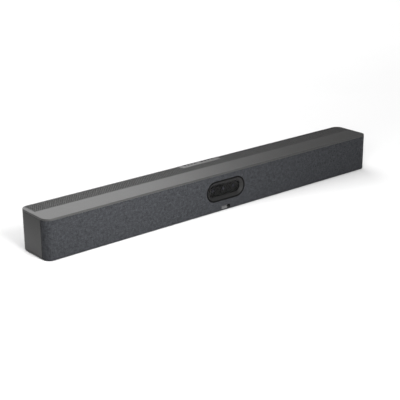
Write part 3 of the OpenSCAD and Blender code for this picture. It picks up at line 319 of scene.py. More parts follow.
# Smoked pane that lets part of the light straight through; smears change its roughness
def smokedPane():
    pane = {"dark": 0.003, "light": 0.0042, "solid": 0.35, "rough": 0.03, "smears": 0.05}
    material, shader, place = newMaterial("smoked glass", {
        "Alpha": pane["solid"], "IOR": 1.5, "Specular IOR Level": 0.14})
    tone = addGroup(toneGroup, place, {
        "Dark": tint(pane["dark"]), "Light": tint(pane["light"]), "Scale": 70.0})
    feedAll(shader, {"Base Color": tone["Color"],
                     "Roughness": plus(times(tone["Mask"], pane["smears"]), pane["rough"])})
    return material


# Coated glass that lets part of the light in; the smears on it only change its roughness
def coatedGlass():
    coat = {"colour": (0.30, 0.30, 0.40), "clear": 0.5, "smears": 0.04}
    material, shader, place = newMaterial("coated lens", {
        "Base Color": tint(coat["colour"]), "IOR": 1.7, "Specular IOR Level": 1.0,
        "Transmission Weight": coat["clear"]})
    smear = addGroup(toneGroup, place, {"Scale": 70.0})["Mask"]
    feed(shader["Roughness"], times(smear, coat["smears"]))
    return material


# Circuit board: solder resist over copper tracks
def circuitBoard(name, turn=0.0):
    colours = {"dark": (0.006, 0.05, 0.022), "light": (0.010, 0.085, 0.036), "track": (0.03, 0.16, 0.07)}
    material, shader, place = newMaterial(name, {"Coat Roughness": 0.2})
    laid = addNode(material.node_tree, "ShaderNodeMapping", {"Vector": place, "Rotation": (turn, 0, 0)})
    tracks = addNode(material.node_tree, "ShaderNodeTexBrick", {
        "Vector": laid.outputs[0], "Scale": 210.0, "Mortar Size": 0.035, "Mortar Smooth": 0.1,
        "Brick Width": 1.1, "Row Height": 0.22}).outputs["Fac"]
    tone = addGroup(toneGroup, place, {
        "Dark": tint(colours["dark"]), "Light": tint(colours["light"]), "Scale": 50.0})
    feedAll(shader, {"Base Color": mixed(tracks, tone["Color"], tint(colours["track"])),
                     "Roughness": plus(times(tracks, 0.1), 0.32),
                     "Coat Weight": plus(times(tone["Mask"], 0.2), 0.2), "Normal": bump(tracks, 0.03)})
    return material


materials = {
    "strip": mouldedPlastic("top strip satin", 0.028, 0.034, 0.45, warm=0.01, relief=0.006, worn=0.16,
                            dust=0.03),
    # Same grey plastic as the top strip, made darker: painted shade for the end faces
    "caps": mouldedPlastic("case satin", 0.017, 0.022, 0.42, warm=0.01, relief=0.012, worn=0.12, dust=0.03,
                           specular=0.3),
    "grille": mouldedPlastic("grille matt", 0.017, 0.023, 0.52, warm=0.01, relief=0.006, wear=0.2, dust=0.03,
                             specular=0.37),
    "vent": mouldedPlastic("vent bezel satin", 0.052, 0.066, 0.38, warm=0.01, relief=0.006),
    "rear": mouldedPlastic("rear matt", 0.034, 0.046, 0.5, relief=0.03),
    "base": mouldedPlastic("base matt", 0.016, 0.024, 0.55, relief=0.04),
    "frame": mouldedPlastic("frame matt", 0.012, 0.018, 0.6, specular=0.2),
    "bezel": mouldedPlastic("window bezel", 0.013, 0.017, 0.45, relief=0.01, wear=0.15, dust=0.0,
                            specular=0.2),
    "ring": mouldedPlastic("window ring gloss", 0.002, 0.003, 0.22, relief=0.002, wear=0.03, dust=0.0,
                           specular=0.05),
    "blade": mouldedPlastic("shutter blade", 0.010, 0.014, 0.5, wear=0.1, dust=0.0, specular=0.2),
    "knob": mouldedPlastic("shutter knob", 0.10, 0.13, 0.35, wear=0.2, dust=0.0),
    "black": mouldedPlastic("black plastic", 0.008, 0.013, 0.4, wear=0.2, dust=0.02),
    "barrel": mouldedPlastic("lens barrel", 0.014, 0.020, 0.35, wear=0.1, dust=0.0),
    "button": mouldedPlastic("button plastic", 0.045, 0.06, 0.35, wear=0.3, dust=0.02),
    "bracket": mouldedPlastic("painted bracket", 0.008, 0.012, 0.5, wear=0.4, dust=0.0),
    "cone": softMatter("pressed cone", 0.012, 0.022, grain=400.0, relief=0.1),
    "rubber": softMatter("rubber", 0.012, 0.020),
    "lamp": softMatter("lamp window", (0.30, 0.34, 0.22), (0.42, 0.46, 0.30), relief=0.005),
    "foam": softMatter("foam pad", (0.10, 0.11, 0.13), (0.16, 0.17, 0.19), grain=500.0, relief=0.15),
    "thermal": softMatter("thermal pad", (0.10, 0.16, 0.24), (0.15, 0.22, 0.30)),
    "redWire": softMatter("red wire", (0.28, 0.012, 0.010), (0.38, 0.020, 0.014), relief=0.02),
    "whiteWire": softMatter("white wire", 0.50, 0.62, relief=0.02),
    "flex": softMatter("orange film", (0.42, 0.14, 0.020), (0.55, 0.20, 0.030), relief=0.01),
    "steel": sheetMetal("plated steel", 0.46, 0.60, 0.32),
    "aluminium": sheetMetal("aluminium", 0.62, 0.76, 0.34, along=(1.0, 1.0, 0.02)),
    "screw": sheetMetal("blackened screw", 0.06, 0.11, 0.38, along=(1.0, 1.0, 1.0)),
    "brass": sheetMetal("brass", (0.62, 0.42, 0.14), (0.78, 0.56, 0.22), 0.28),
    "gold": sheetMetal("gold contact", (0.80, 0.56, 0.18), (0.92, 0.68, 0.28), 0.22),
    "board": circuitBoard("circuit board"),
    "uprightBoard": circuitBoard("upright circuit board", math.pi / 2),
    "cloth": wovenCloth(),
    "glass": smokedPane(),
    "lens": coatedGlass(),
}
print("materials made")


# Gives a finished piece its material and body, and hides the frame nodes that it stands for
def finishPiece(obj, material, slotName, *replaced, body="housing"):
    obj.data.materials.clear()
    obj.data.materials.append(materials[material])
    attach(obj, body)
    if replaced:
        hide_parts(*replaced)
    return obj


# Turns what the live modifiers make into a plain mesh
def bake(obj):
    bpy.context.view_layer.update()
    evaluated = obj.evaluated_get(bpy.context.evaluated_depsgraph_get())
    mesh = bpy.data.meshes.new_from_object(evaluated)
    obj.modifiers.clear()
    old = obj.data
    obj.data = mesh
    bpy.data.meshes.remove(old)
    mesh.name = obj.name
    return obj


def smoothByAngle(obj, degrees=32):
    for face in obj.data.polygons:
        face.use_smooth = True
    obj.data.set_sharp_from_angle(angle=math.radians(degrees))


# Rounds the edges; only they shade smoothly, and a faceted piece is left flat shaded
def soften(obj, width, degrees=35, segments=2, faceted=False):
    rounding = obj.modifiers.new("rounding", "BEVEL")
    rounding.width = width
    rounding.segments = segments
    rounding.limit_method = "ANGLE"
    rounding.angle_limit = math.radians(degrees)
    rounding.use_clamp_overlap = False
    rounding.miter_outer = "MITER_ARC"
    bake(obj)
    if faceted:
        return obj
    smoothByAngle(obj, 40)
    weighted = obj.modifiers.new("face weight", "WEIGHTED_NORMAL")
    weighted.keep_sharp = True
    weighted.weight = 100
    return bake(obj)


def bmeshObject(name, bm):
    mesh = bpy.data.meshes.new(name)
    bm.to_mesh(mesh)
    bm.free()
    return addObject(name, mesh)


def weldedNode(node, distance):
    bm = bmesh.new()
    bm.from_mesh(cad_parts[node].data)
    bmesh.ops.remove_doubles(bm, verts=bm.verts, dist=distance)
    return bm


# Joins faces that lie in one plane, except across seams
def joinFaces(bm):
    bmesh.ops.dissolve_limit(bm, angle_limit=math.radians(0.6), delimit={"SEAM"}, verts=bm.verts,
                             edges=bm.edges)


# A copy of a frame node with its triangles joined
def joinedNode(name, node):
    bm = weldedNode(node, 0.004 * mm)
    joinFaces(bm)
    return bmeshObject(name, bm)


def softenedNode(name, node, width):
    return soften(joinedNode(name, node), width)


# Cuts an upper face into strips at these depths, so that what is carved between them leaves plain strips
def stripTop(obj, height, depths):
    bm = bmesh.new()
    bm.from_mesh(obj.data)
    for y in depths:
        faces = [face for face in bm.faces if min(vert.co.z for vert in face.verts) > height - 0.01 * mm]
        edges = list({edge.index: edge for face in faces for edge in face.edges}.values())
        verts = list({vert.index: vert for face in faces for vert in face.verts}.values())
        cut = bmesh.ops.bisect_plane(bm, geom=verts + edges + faces, dist=0.001 * mm, plane_co=(0, y, 0),
                                     plane_no=(0, 1, 0))
        for part in cut["geom_cut"]:
            if isinstance(part, bmesh.types.BMVert):
                part.co.y = y
            else:
                part.seam = True
        for parts in (bm.verts, bm.edges, bm.faces):
            parts.index_update()
    joinFaces(bm)
    bm.to_mesh(obj.data)
    bm.free()


# Closed rings of equal length joined into a skin, with its ends capped or joined in a loop
def loft(name, rings, closeLoop=False):
    bm = bmesh.new()
    rows = [[bm.verts.new(point) for point in ring] for ring in rings]
    for low, high in zip(rows, rows[1:] + rows[:1] if closeLoop else rows[1:]):
        for i in range(len(low)):
            j = (i + 1) % len(low)
            bm.faces.new((low[i], low[j], high[j], high[i]))
    if not closeLoop:
        bm.faces.new(list(reversed(rows[0])))
        bm.faces.new(rows[-1])
    bmesh.ops.recalc_face_normals(bm, faces=bm.faces)
    return bmeshObject(name, bm)


# Middle of a box, with the coordinates that are given kept as they are
def centre(low, high, y=None, z=None):
    return [(a + b) / 2 if own is None else own for a, b, own in zip(low, high, (None, y, z))]


def levelLoft(name, levels):
    return loft(name, [[(x, y, z) for x, y in outline] for outline, z in levels])


def arc(middle, radius, start, end, steps):
    turns = [math.radians(start + (end - start) * i / steps) for i in range(steps + 1)]
    return [(middle[0] + radius * math.cos(t), middle[1] + radius * math.sin(t)) for t in turns]


# Rounded rectangle, begun at its right lower side; the far corners may have their own radius
def roundedRect(x0, y0, x1, y1, near, steps, far=None):
    far = near if far is None else far
    return (arc((x1 - near, y0 + near), near, -90, 0, steps) + arc((x1 - far, y1 - far), far, 0, 90, steps)
            + arc((x0 + far, y1 - far), far, 90, 180, steps)
            + arc((x0 + near, y0 + near), near, 180, 270, steps))


# Two half rounds a straight stretch apart
def stadium(reach, radius, steps):
    return arc((reach, 0), radius, -90, 90, steps) + arc((-reach, 0), radius, 90, 270, steps)


# Steps of a quarter round from a flat wall to a flat top, as (inset, drop) pairs
def roundedEdge(radius, steps=5):
    turns = [math.radians(90 * i / steps) for i in range(steps + 1)]
    return [(radius * (1 - math.cos(t)), radius * (1 - math.sin(t))) for t in turns]


def boxObject(low, high):
    bm = bmesh.new()
    bmesh.ops.create_cube(bm, size=1)
    bmesh.ops.scale(bm, vec=Vector(high) - Vector(low), verts=bm.verts)
    bmesh.ops.translate(bm, vec=(Vector(high) + Vector(low)) / 2, verts=bm.verts)
    return bmeshObject("block", bm)


def carve(obj, cutters):
    for cutter in cutters:
        cut = obj.modifiers.new("cut", "BOOLEAN")
        cut.operation = "DIFFERENCE"
        cut.solver = "EXACT"
        cut.object = cutter
    bake(obj)
    for cutter in cutters:
        bpy.data.objects.remove(cutter)
    return obj


def joinObjects(name, objects):
    bm = bmesh.new()
    for obj in objects:
        bm.from_mesh(obj.data)
        bpy.data.objects.remove(obj)
    return bmeshObject(name, bm)


# A turned body: profile points are (radius, distance along the axis), and the core closes its poles
core = 0.02 * mm


def turned(name, profile, origin, direction, steps=48, closeLoop=False):
    turn = Vector((0, 0, 1)).rotation_difference(Vector(direction).normalized()).to_matrix()
    rings = [[Vector(origin) + turn @ Vector((x, y, along))
              for x, y in arc((0, 0), radius, 0, 360, steps)[:-1]] for radius, along in profile]
    obj = loft(name, rings, closeLoop)
    smoothByAngle(obj)
    return obj


# Boxes round the separate solids of a frame node, sorted from left to right
def solidsOf(node):
    bm = weldedNode(node, 0.002 * mm)
    left = set(bm.verts)
    found = []
    while left:
        group = [left.pop()]
        for vert in group:
            for edge in vert.link_edges:
                other = edge.other_vert(vert)
                if other in left:
                    left.remove(other)
                    group.append(other)
        found.append([Vector([pick(v.co[i] for v in group) for i in range(3)]) for pick in (min, max)])
    bm.free()
    return sorted(found, key=lambda pair: (round(pair[0].x, 4), pair[0].y, pair[0].z))


# The bar seen from above, and the vent bezel in the middle of its rear edge
barLow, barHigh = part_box("top_cover")
plan = {"frontRadius": 11 * mm, "rearRadius": 12 * mm, "steps": 20}
vent = {"frontWidth": 70 * mm, "rearWidth": 77 * mm, "depth": 12 * mm, "flare": 3.5 / 12}


def planOutline(inset=0.0):
    x = barHigh.x - inset
    return roundedRect(-x, barLow.y + inset, x, barHigh.y - inset, plan["frontRadius"] - inset, plan["steps"],
                       plan["rearRadius"] - inset)


# Top cover: rounded outer edge, pocket for the grille, openings under it, notch for the vent bezel
def makeTopCover():
    sizes = {"edge": 0.9 * mm, "strip": 35.9 * mm, "sideRim": 6 * mm, "rearRim": 3.5 * mm,
             "pocket": 1.6 * mm, "pocketCorner": 1.2 * mm, "ledge": 1.5 * mm, "rib": 10 * mm,
             "gap": 0.2 * mm, "innerEdge": 0.25 * mm, "lowerEdge": 0.15 * mm, "over": 2 * mm}
    z0 = barLow.z
    z1 = barHigh.z
    over = sizes["over"]
    levels = [(sizes["lowerEdge"], z0), (0.0, z0 + sizes["lowerEdge"])]
    levels += [(inset, z1 - drop) for inset, drop in roundedEdge(sizes["edge"])]
    cover = levelLoft("top_shell", [(planOutline(inset), z) for inset, z in levels])
    x = barHigh.x - sizes["sideRim"]
    y0 = barLow.y + sizes["strip"]
    y1 = barHigh.y - sizes["rearRim"]
    pocket = roundedRect(-x, y0, x, y1, sizes["pocketCorner"], 5)
    cutters = [levelLoft("pocket", [(pocket, z1 - sizes["pocket"]), (pocket, z1 + over)])]
    posts = [(low.x + high.x) / 2 for low, high in solidsOf("cover_posts") if low.y > 0 and low.x > 0]
    ribs = [place + side * sizes["rib"] / 2 for place in sorted(posts) for side in (-1, 1)]
    for low, high in ((-ribs[0], ribs[0]), (ribs[1], ribs[2]), (-ribs[2], -ribs[1])):
        cutters.append(boxObject((low, y0 + sizes["ledge"], z0 - over), (high, y1 - sizes["ledge"], z1)))
    halfFront = vent["frontWidth"] / 2 + sizes["gap"]
    halfRear = vent["rearWidth"] / 2 + sizes["gap"] + over * vent["flare"]
    front = barHigh.y - vent["depth"] - sizes["gap"]
    rear = barHigh.y + over
    notch = [(-halfFront, front), (halfFront, front), (halfRear, rear), (-halfRear, rear)]
    cutters.append(levelLoft("notch", [(notch, z0 - over), (notch, z1 + over)]))
    carve(cover, cutters)
    soften(cover, sizes["innerEdge"], degrees=50)
    finishPiece(cover, "strip", "strip_plastic", "top_cover")


makeTopCover()
print("top cover made")


# End caps: a wall round the rear corner with a rounded edge above and below, and the screwed tab
def makeEndCap(side, name, node):
    sizes = {"wall": 2.2 * mm, "edge": 0.4 * mm, "tabHeight": 20 * mm, "tabReach": 0.5 * mm}
    low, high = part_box(node)
    radius = plan["rearRadius"]
    corner = (barHigh.x - radius, barHigh.y - radius)

    def outline(inset):
        outer = barHigh.x - inset
        inner = barHigh.x - sizes["wall"] + inset
        end = corner[0] + inset
        path = [(inner, low.y + inset), (outer, low.y + inset)]
        path += arc(corner, radius - inset, 0, 90, plan["steps"])[:-1]
        path += [(end, barHigh.y - inset), (end, barHigh.y - sizes["wall"] + inset)]
        path += arc(corner, radius - sizes["wall"] + inset, 90, 0, plan["steps"])[1:]
        return [(side * x, y) for x, y in path]

    edge = roundedEdge(sizes["edge"], 3)
    levels = [(outline(inset), low.z + drop) for inset, drop in reversed(edge)]
    levels += [(outline(inset), high.z - drop) for inset, drop in edge]
    wall = levelLoft(name, levels)
    points = [v.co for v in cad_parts[node].data.vertices]
    tab = [p for p in points if abs(p.x) < corner[0] - sizes["tabReach"] and p.z < low.z + sizes["tabHeight"]]
    ends = sorted((side * min(abs(p.x) for p in points), side * (barHigh.x - sizes["wall"] / 2)))
    block = boxObject((ends[0], min(p.y for p in tab), min(p.z for p in tab)),
                      (ends[1], max(p.y for p in tab), max(p.z for p in tab)))
    smoothByAngle(wall)
    # The caps take the darker copy of the case plastic, painted shade for the end faces
    finishPiece(joinObjects(name, [wall, block]), "caps", "case_plastic", node)


makeEndCap(-1, "left_side", "left_end_cap")
makeEndCap(1, "right_side", "right_end_cap")
for pieceName, node, width, material, slotName in (
        ("rear_panel", "rear_cover", 0.3 * mm, "rear", "case_plastic"),
        ("under_tray", "base_tray", 0.3 * mm, "base", "dark_plastic"),
        ("socket_plate", "io_shield", 0.12 * mm, "steel", "steel")):
    finishPiece(softenedNode(pieceName, node, width), material, slotName, node)


# Vent bezel: its slots run on almost to the rear edge
def makeVentFrame():
    sizes = {"edge": 0.25 * mm, "slot": 3.76 * mm, "pitch": 6.44 * mm, "count": 4, "front": 27.2 * mm,
             "rearRim": 0.7 * mm, "deep": 6 * mm, "over": 1 * mm}
    rear = barHigh.y - sizes["rearRim"]
    frameObj = joinedNode("vent_frame", "vent_bezel")
    stripTop(frameObj, barHigh.z, (sizes["front"], rear))
    half = sizes["slot"] / 2
    places = [side * i * sizes["pitch"] for side in (-1, 1) for i in range(1, sizes["count"] + 1)]
    carve(frameObj, [boxObject((x - half, sizes["front"], barHigh.z - sizes["deep"]),
                               (x + half, rear, barHigh.z + sizes["over"])) for x in places])
    soften(frameObj, sizes["edge"], segments=3, faceted=True)
    finishPiece(frameObj, "vent", "bezel_plastic", "vent_bezel")


makeVentFrame()
print("covers made")


# Geometry Nodes helpers
def newTree(name, inputs):
    tree, given, result = newGroup(name, {"Geometry": "Geometry", **inputs}, {"Geometry": "Geometry"},
                                   "GeometryNodeTree")
    tree.is_modifier = True
    return tree, given, result


# Makes what a tree's last steps hand on real, and gives it the material
def endTree(result, geometry, material, weld=None):
    tree = geometry.id_data
    real = addNode(tree, "GeometryNodeRealizeInstances", {0: geometry}).outputs[0]
    if weld:
        real = addNode(tree, "GeometryNodeMergeByDistance", {"Geometry": real, "Distance": weld}).outputs[0]
    done = addNode(tree, "GeometryNodeSetMaterial", {"Geometry": real, "Material": material})
    feed(result[0], done.outputs[0])
    return tree


def runTree(name, mesh, tree, values):
    obj = addObject(name, mesh)
    modifier = obj.modifiers.new(tree.name, "NODES")
    modifier.node_group = tree
    sockets = {item.name: item.identifier for item in tree.interface.items_tree if item.in_out == "INPUT"}
    for label, value in values.items():
        modifier[sockets[label]] = value
    return bake(obj)


# Perforated sheet: staggered rows of square tiles, each with a round hole and its wall
def makePerforationTree():
    tree, read, result = newTree("perforated sheet", {
        "Width": 0.5, "Depth": 0.025, "Pitch": 0.002, "Rows": 14, "Columns": 200, "Hole Radius": 0.0006,
        "Thickness": 0.001, "Centre": "Vector", "Notch Half": 0.036, "Notch Front": 0.02, "Notch Flare": 0.3,
        "Right Side": True, "Material": "Material"})

    def here():
        position = addNode(tree, "GeometryNodeInputPosition").outputs[0]
        return addNode(tree, "ShaderNodeSeparateXYZ", {0: position}).outputs

    def vector(values):
        return addNode(tree, "ShaderNodeCombineXYZ", values).outputs[0]

    rowStep = maths("DIVIDE", read["Depth"], read["Rows"])
    spanY = minus(read["Depth"], rowStep)
    spanX = times(read["Pitch"], minus(read["Columns"], 1.0))
    grid = addNode(tree, "GeometryNodeMeshGrid", {
        "Size X": spanX, "Size Y": spanY, "Vertices X": read["Columns"], "Vertices Y": read["Rows"]})
    points = addNode(tree, "GeometryNodeMeshToPoints", {"Mesh": grid.outputs["Mesh"]})
    row = maths("ROUND", maths("DIVIDE", plus(here()["Y"], times(spanY, 0.5)), rowStep))
    shift = vector({"X": times(maths("MODULO", row, 2.0), times(read["Pitch"], 0.5))})
    moved = addNode(tree, "GeometryNodeSetPosition", {
        "Geometry": points.outputs[0], "Offset": vectorMath("ADD", shift, read["Centre"]).outputs[0]})

    # Leaves out the notch, the far side, and tiles past the sheet's ends
    place = here()
    away = maths("ABSOLUTE", place["X"])
    behind = minus(place["Y"], read["Notch Front"])
    notchHalf = plus(read["Notch Half"], times(behind, read["Notch Flare"]))
    notch = times(maths("LESS_THAN", away, notchHalf), maths("GREATER_THAN", behind, 0.0))
    onRight = maths("GREATER_THAN", place["X"], -0.01 * mm)
    wrongSide = maths("ABSOLUTE", minus(onRight, read["Right Side"]))
    tooFar = maths("GREATER_THAN", away, minus(times(read["Width"], 0.5), times(read["Pitch"], 0.5)))
    leftOut = maths("MAXIMUM", maths("MAXIMUM", notch, wrongSide), tooFar)
    kept = addNode(tree, "GeometryNodeDeleteGeometry", {
        "Geometry": moved.outputs[0], "Selection": maths("GREATER_THAN", leftOut, 0.5)}, domain="POINT")

    # One tile: a ring of eight quads above and below, joined by the hole's wall
    circle = addNode(tree, "GeometryNodeMeshCircle", {"Vertices": 8, "Radius": read["Hole Radius"]},
                     fill_type="NONE").outputs[0]
    spread = addNode(tree, "GeometryNodeExtrudeMesh", {"Mesh": circle, "Offset Scale": 0.0}, mode="EDGES")
    place = here()
    widest = maths("MAXIMUM", maths("ABSOLUTE", place["X"]), maths("ABSOLUTE", place["Y"]))
    square = {axis: times(maths("DIVIDE", place[axis], widest), times(full, 0.5))
              for axis, full in (("X", read["Pitch"]), ("Y", rowStep))}
    stretched = addNode(tree, "GeometryNodeSetPosition", {
        "Geometry": spread.outputs["Mesh"], "Selection": spread.outputs["Top"], "Position": vector(square)})
    halfThick = times(read["Thickness"], 0.5)
    lift = vector({"Z": halfThick})
    sink = vector({"Z": times(halfThick, -1.0)})
    upper, lower, base = [
        addNode(tree, "GeometryNodeTransform", {"Geometry": shape, "Translation": way}).outputs[0]
        for shape, way in ((stretched.outputs[0], lift), (stretched.outputs[0], sink), (circle, sink))]
    turnedOver = addNode(tree, "GeometryNodeFlipFaces", {"Mesh": lower}).outputs[0]
    up = vector({"Z": read["Thickness"]})
    wall = addNode(tree, "GeometryNodeExtrudeMesh", {"Mesh": base, "Offset": up}, mode="EDGES")
    tile = addNode(tree, "GeometryNodeJoinGeometry")
    for shape in (upper, turnedOver, wall.outputs["Mesh"]):
        feed(tile.inputs[0], shape)
    copies = addNode(tree, "GeometryNodeInstanceOnPoints", {
        "Points": kept.outputs[0], "Instance": tile.outputs[0]})
    return endTree(result, copies.outputs[0], read["Material"], weld=0.02 * mm)


# Ring of the sheet's outline, moved inwards by an inset, with the vent bezel's notch in its rear edge
def grilleOutline(low, high, inset, gap):
    halfFront = vent["frontWidth"] / 2 + gap + inset
    front = barHigh.y - vent["depth"] - gap - inset
    left, right, rear = low.x + inset, high.x - inset, high.y - inset
    halfRear = halfFront + vent["flare"] * (rear - front)
    near = low.y + inset
    return [(left, near), (right, near), (right, rear), (halfRear, rear), (halfFront, front),
            (-halfFront, front), (-halfRear, rear), (left, rear)]


def makeTopGrille():
    sizes = {"pitch": 2.8 * mm, "hole": 0.98 * mm, "rows": 10, "rim": 1.6 * mm, "rimRise": 0.04 * mm,
             "rimEdge": 0.12 * mm, "sheet": 0.7 * mm, "gap": 0.2 * mm, "screenDrop": 0.35 * mm,
             "screen": 0.1 * mm, "screenRim": 0.2 * mm}
    low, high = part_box("top_grille")
    rim = sizes["rim"]
    tree = makePerforationTree()
    columns = int((high.x - low.x) / sizes["pitch"])
    values = {
        "Width": high.x - low.x, "Depth": high.y - low.y, "Pitch": (high.x - low.x) / columns,
        "Rows": sizes["rows"], "Columns": columns, "Hole Radius": sizes["hole"], "Thickness": sizes["sheet"],
        "Centre": Vector(((low.x + high.x) / 2, (low.y + high.y) / 2, high.z - sizes["sheet"] / 2)),
        "Notch Half": vent["frontWidth"] / 2 + rim / 2, "Notch Front": barHigh.y - vent["depth"] - rim / 2,
        "Notch Flare": vent["flare"], "Material": materials["grille"]}
    for side, name in ((True, "grille_right"), (False, "grille_left")):
        sheet = runTree(name, bpy.data.meshes.new(name), tree, {**values, "Right Side": side})
        finishPiece(sheet, "grille", "grille_plastic", "top_grille")
        print(name, len(sheet.data.polygons), "faces")
    outer, inner, screen = [grilleOutline(low, high, inset, sizes["gap"])
                            for inset in (0.0, rim, rim + sizes["screenRim"])]
    top = high.z + sizes["rimRise"]
    rings = [[(x, y, z) for x, y in outline] for outline, z in (
        (outer, low.z), (outer, top), (inner, top), (inner, low.z))]
    rimObj = soften(loft("grille_rim", rings, closeLoop=True), sizes["rimEdge"], degrees=50)
    finishPiece(rimObj, "grille", "grille_plastic", "top_grille")
    z = low.z - sizes["screenDrop"]
    sheet = levelLoft("dust_screen", [(screen, z - sizes["screen"]), (screen, z)])
    finishPiece(sheet, "frame", "dark_plastic")


makeTopGrille()
print("perforated top made")

# The window's opening is the same in the cloth, the ring and the bezel
windowLow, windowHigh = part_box("window_ring")
window = {"width": 72 * mm, "height": 31.2 * mm, "z": ((windowLow + windowHigh) / 2).z}
window["reach"] = (window["width"] - window["height"]) / 2


# Stadium rings from a profile of (growth of the opening, depth)
def stadiumLoft(name, profile, closeLoop=False):
    rings = [[(x, y, window["z"] + z) for x, z in stadium(window["reach"], window["height"] / 2 + grow, 24)]
             for grow, y in profile]
    obj = loft(name, rings, closeLoop)
    smoothByAngle(obj, 28)
    return obj


def makeWindow():
    sizes = {"ring": 1.3 * mm, "fit": 0.2 * mm, "ringSet": 0.2 * mm, "ringEdge": 0.35 * mm,
             "ringLap": 0.9 * mm, "ringGap": 0.02 * mm, "lip": 2 * mm, "lipThick": 0.8 * mm,
             "frame": 2 * mm, "bezelSet": 0.4 * mm, "bezelLip": 0.6 * mm, "bezelEdge": 0.4 * mm,
             "funnel": 5.3 * mm, "round": 0.25 * mm, "flange": 5 * mm, "glassLap": 1.2 * mm,
             "glassEdge": 0.12 * mm, "post": 2.2 * mm, "postBore": 0.9 * mm, "postMouth": 0.95 * mm,
             "postLength": 2.4 * mm, "postSink": 0.1 * mm, "postReach": 6 * mm}
    front = barLow.y
    glassY, backY = [corner.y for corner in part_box("window_glass")]
    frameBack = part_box("grille_frame")[0].y + sizes["frame"]
    half = sizes["fit"] / 2
    outside = -half - sizes["ring"]
    inner = outside - sizes["ringLap"]
    ringY = front + sizes["ringSet"]
    lipY = frameBack + sizes["lipThick"]
    bezelY = front + sizes["bezelSet"]
    lapY = bezelY - sizes["ringGap"]
    edge = roundedEdge(sizes["ringEdge"], 4)
    profile = [(inner + inset, ringY + drop) for inset, drop in edge]
    profile += [(-half - inset, ringY + drop) for inset, drop in reversed(edge)]
    profile += [(-half, frameBack), (sizes["lip"], frameBack), (sizes["lip"], lipY), (outside, lipY),
                (outside, lapY), (inner, lapY)]
    finishPiece(stadiumLoft("window_surround", profile, True), "ring", "black_gloss", "window_ring")

    start = -sizes["fit"] - sizes["ring"]
    slopeEnd = start - sizes["funnel"]
    lap = slopeEnd + sizes["glassLap"]
    edgeY = glassY - sizes["bezelEdge"]
    lip = start - sizes["bezelLip"]
    r = sizes["round"]
    profile = [
        (sizes["flange"], backY), (sizes["flange"], lipY), (start, lipY), (start, bezelY + r),
        (start - 0.3 * r, bezelY + 0.3 * r), (start - r, bezelY), (lip, bezelY + 0.1 * r),
        (lip - r, bezelY + 0.8 * r), (slopeEnd + r, edgeY - 0.6 * r), (slopeEnd, edgeY), (slopeEnd, glassY),
        (lap, glassY), (lap, backY)]
    parts = [stadiumLoft("window_funnel", profile, True)]
    bore, wide, length, sink = [sizes[key] for key in ("postBore", "post", "postLength", "postSink")]
    profile = [(bore, 0), (wide, 0), (wide, length), (sizes["postMouth"], length), (bore, sink)]
    for low, high in solidsOf("camera_screws"):
        middle = (low + high) / 2
        if high.y < backY + sizes["postReach"]:
            parts.append(turned("post", profile, (middle.x, backY - sink, middle.z), (0, 1, 0), 24))
    finishPiece(joinObjects("window_funnel", parts), "bezel", "window_plastic", "window_bezel")

    e = sizes["glassEdge"]
    lap -= half
    profile = [(lap - e, glassY), (lap, glassY + e), (lap, backY - e), (lap - e, backY)]
    glass = stadiumLoft("window_pane", profile)
    finishPiece(glass, "glass", "smoked_glass", "window_glass")


makeWindow()
print("window made")


# Lenses: a turned barrel with a stepped mouth and a groove, on a square holder
def makeLens(node):
    sizes = {"barrel": 4.5 * mm, "mouth": 3.9 * mm, "seat": 2.45 * mm, "seatDepth": 1.6 * mm, "steps": 5,
             "stepFoot": 0.62 * mm, "mouthDepth": 0.6 * mm, "mouthSet": 0.03 * mm, "rim": 0.1 * mm,
             "edge": 0.15 * mm, "groove": 0.12 * mm, "grooveFrom": 1.4 * mm, "grooveWidth": 0.7 * mm,
             "grooveSlope": 0.1 * mm, "backSet": 3 * mm, "holder": 5 * mm, "holderEdge": 0.4 * mm}
    low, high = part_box(node)
    name = node.replace("lens", "barrel")
    middle = (low + high) / 2
    r, seat, mouth, steps = sizes["barrel"], sizes["seat"], sizes["mouth"], sizes["steps"]
    back = high.y - low.y - sizes["backSet"]
    edge, slope, near = sizes["edge"], sizes["grooveSlope"], sizes["grooveFrom"]
    far = near + sizes["grooveWidth"]
    neck = r - sizes["groove"]
    profile = [(core, sizes["seatDepth"]), (seat, sizes["seatDepth"]), (seat, sizes["stepFoot"])]
    for i in range(steps):
        a, b = [seat + (mouth - seat) * k / steps for k in (i, i + 1)]
        depth = sizes["mouthDepth"] * (1 - i / steps)
        profile += [(a + core, depth), (b, depth)]
    profile += [(mouth, sizes["mouthSet"]), (mouth + sizes["rim"], 0), (r - edge, 0), (r, edge), (r, near),
                (neck, near + slope), (neck, far - slope), (r, far), (r, back), (core, back)]
    barrel = turned(name, profile, (middle.x, low.y, middle.z), (0, 1, 0), 64)
    half = (high.z - low.z) / 2
    holder = boxObject((middle.x - half, high.y - sizes["holder"], middle.z - half),
                       (middle.x + half, high.y, middle.z + half))
    soften(holder, sizes["holderEdge"])
    finishPiece(joinObjects(name, [barrel, holder]), "barrel", "black_plastic", node)


# Domed front glasses of the lenses
def makeLensGlasses():
    sizes = {"rim": 1 * mm, "edge": 0.1 * mm, "steps": 8, "core": 0.01 * mm}
    domes = []
    for low, high in solidsOf("lens_elements"):
        r = (high.x - low.x) / 2
        thick = high.y - low.y
        dome = thick - sizes["rim"]
        ball = (r * r + dome * dome) / (2 * dome)
        turns = [math.asin(r / ball) * i / sizes["steps"] for i in range(sizes["steps"] + 1)]
        profile = [(max(sizes["core"], ball * math.sin(t)), ball - ball * math.cos(t)) for t in turns]
        profile += [(r, thick - sizes["edge"]), (r - sizes["edge"], thick), (sizes["core"], thick)]
        domes.append(turned("dome", profile, centre(low, high, y=low.y), (0, 1, 0)))
    glass = joinObjects("lens_glasses", domes)
    smoothByAngle(glass)
    finishPiece(glass, "lens", "lens_glass", "lens_elements")


for node in ("left_lens", "centre_lens", "right_lens"):
    makeLens(node)
makeLensGlasses()
print("lenses made")


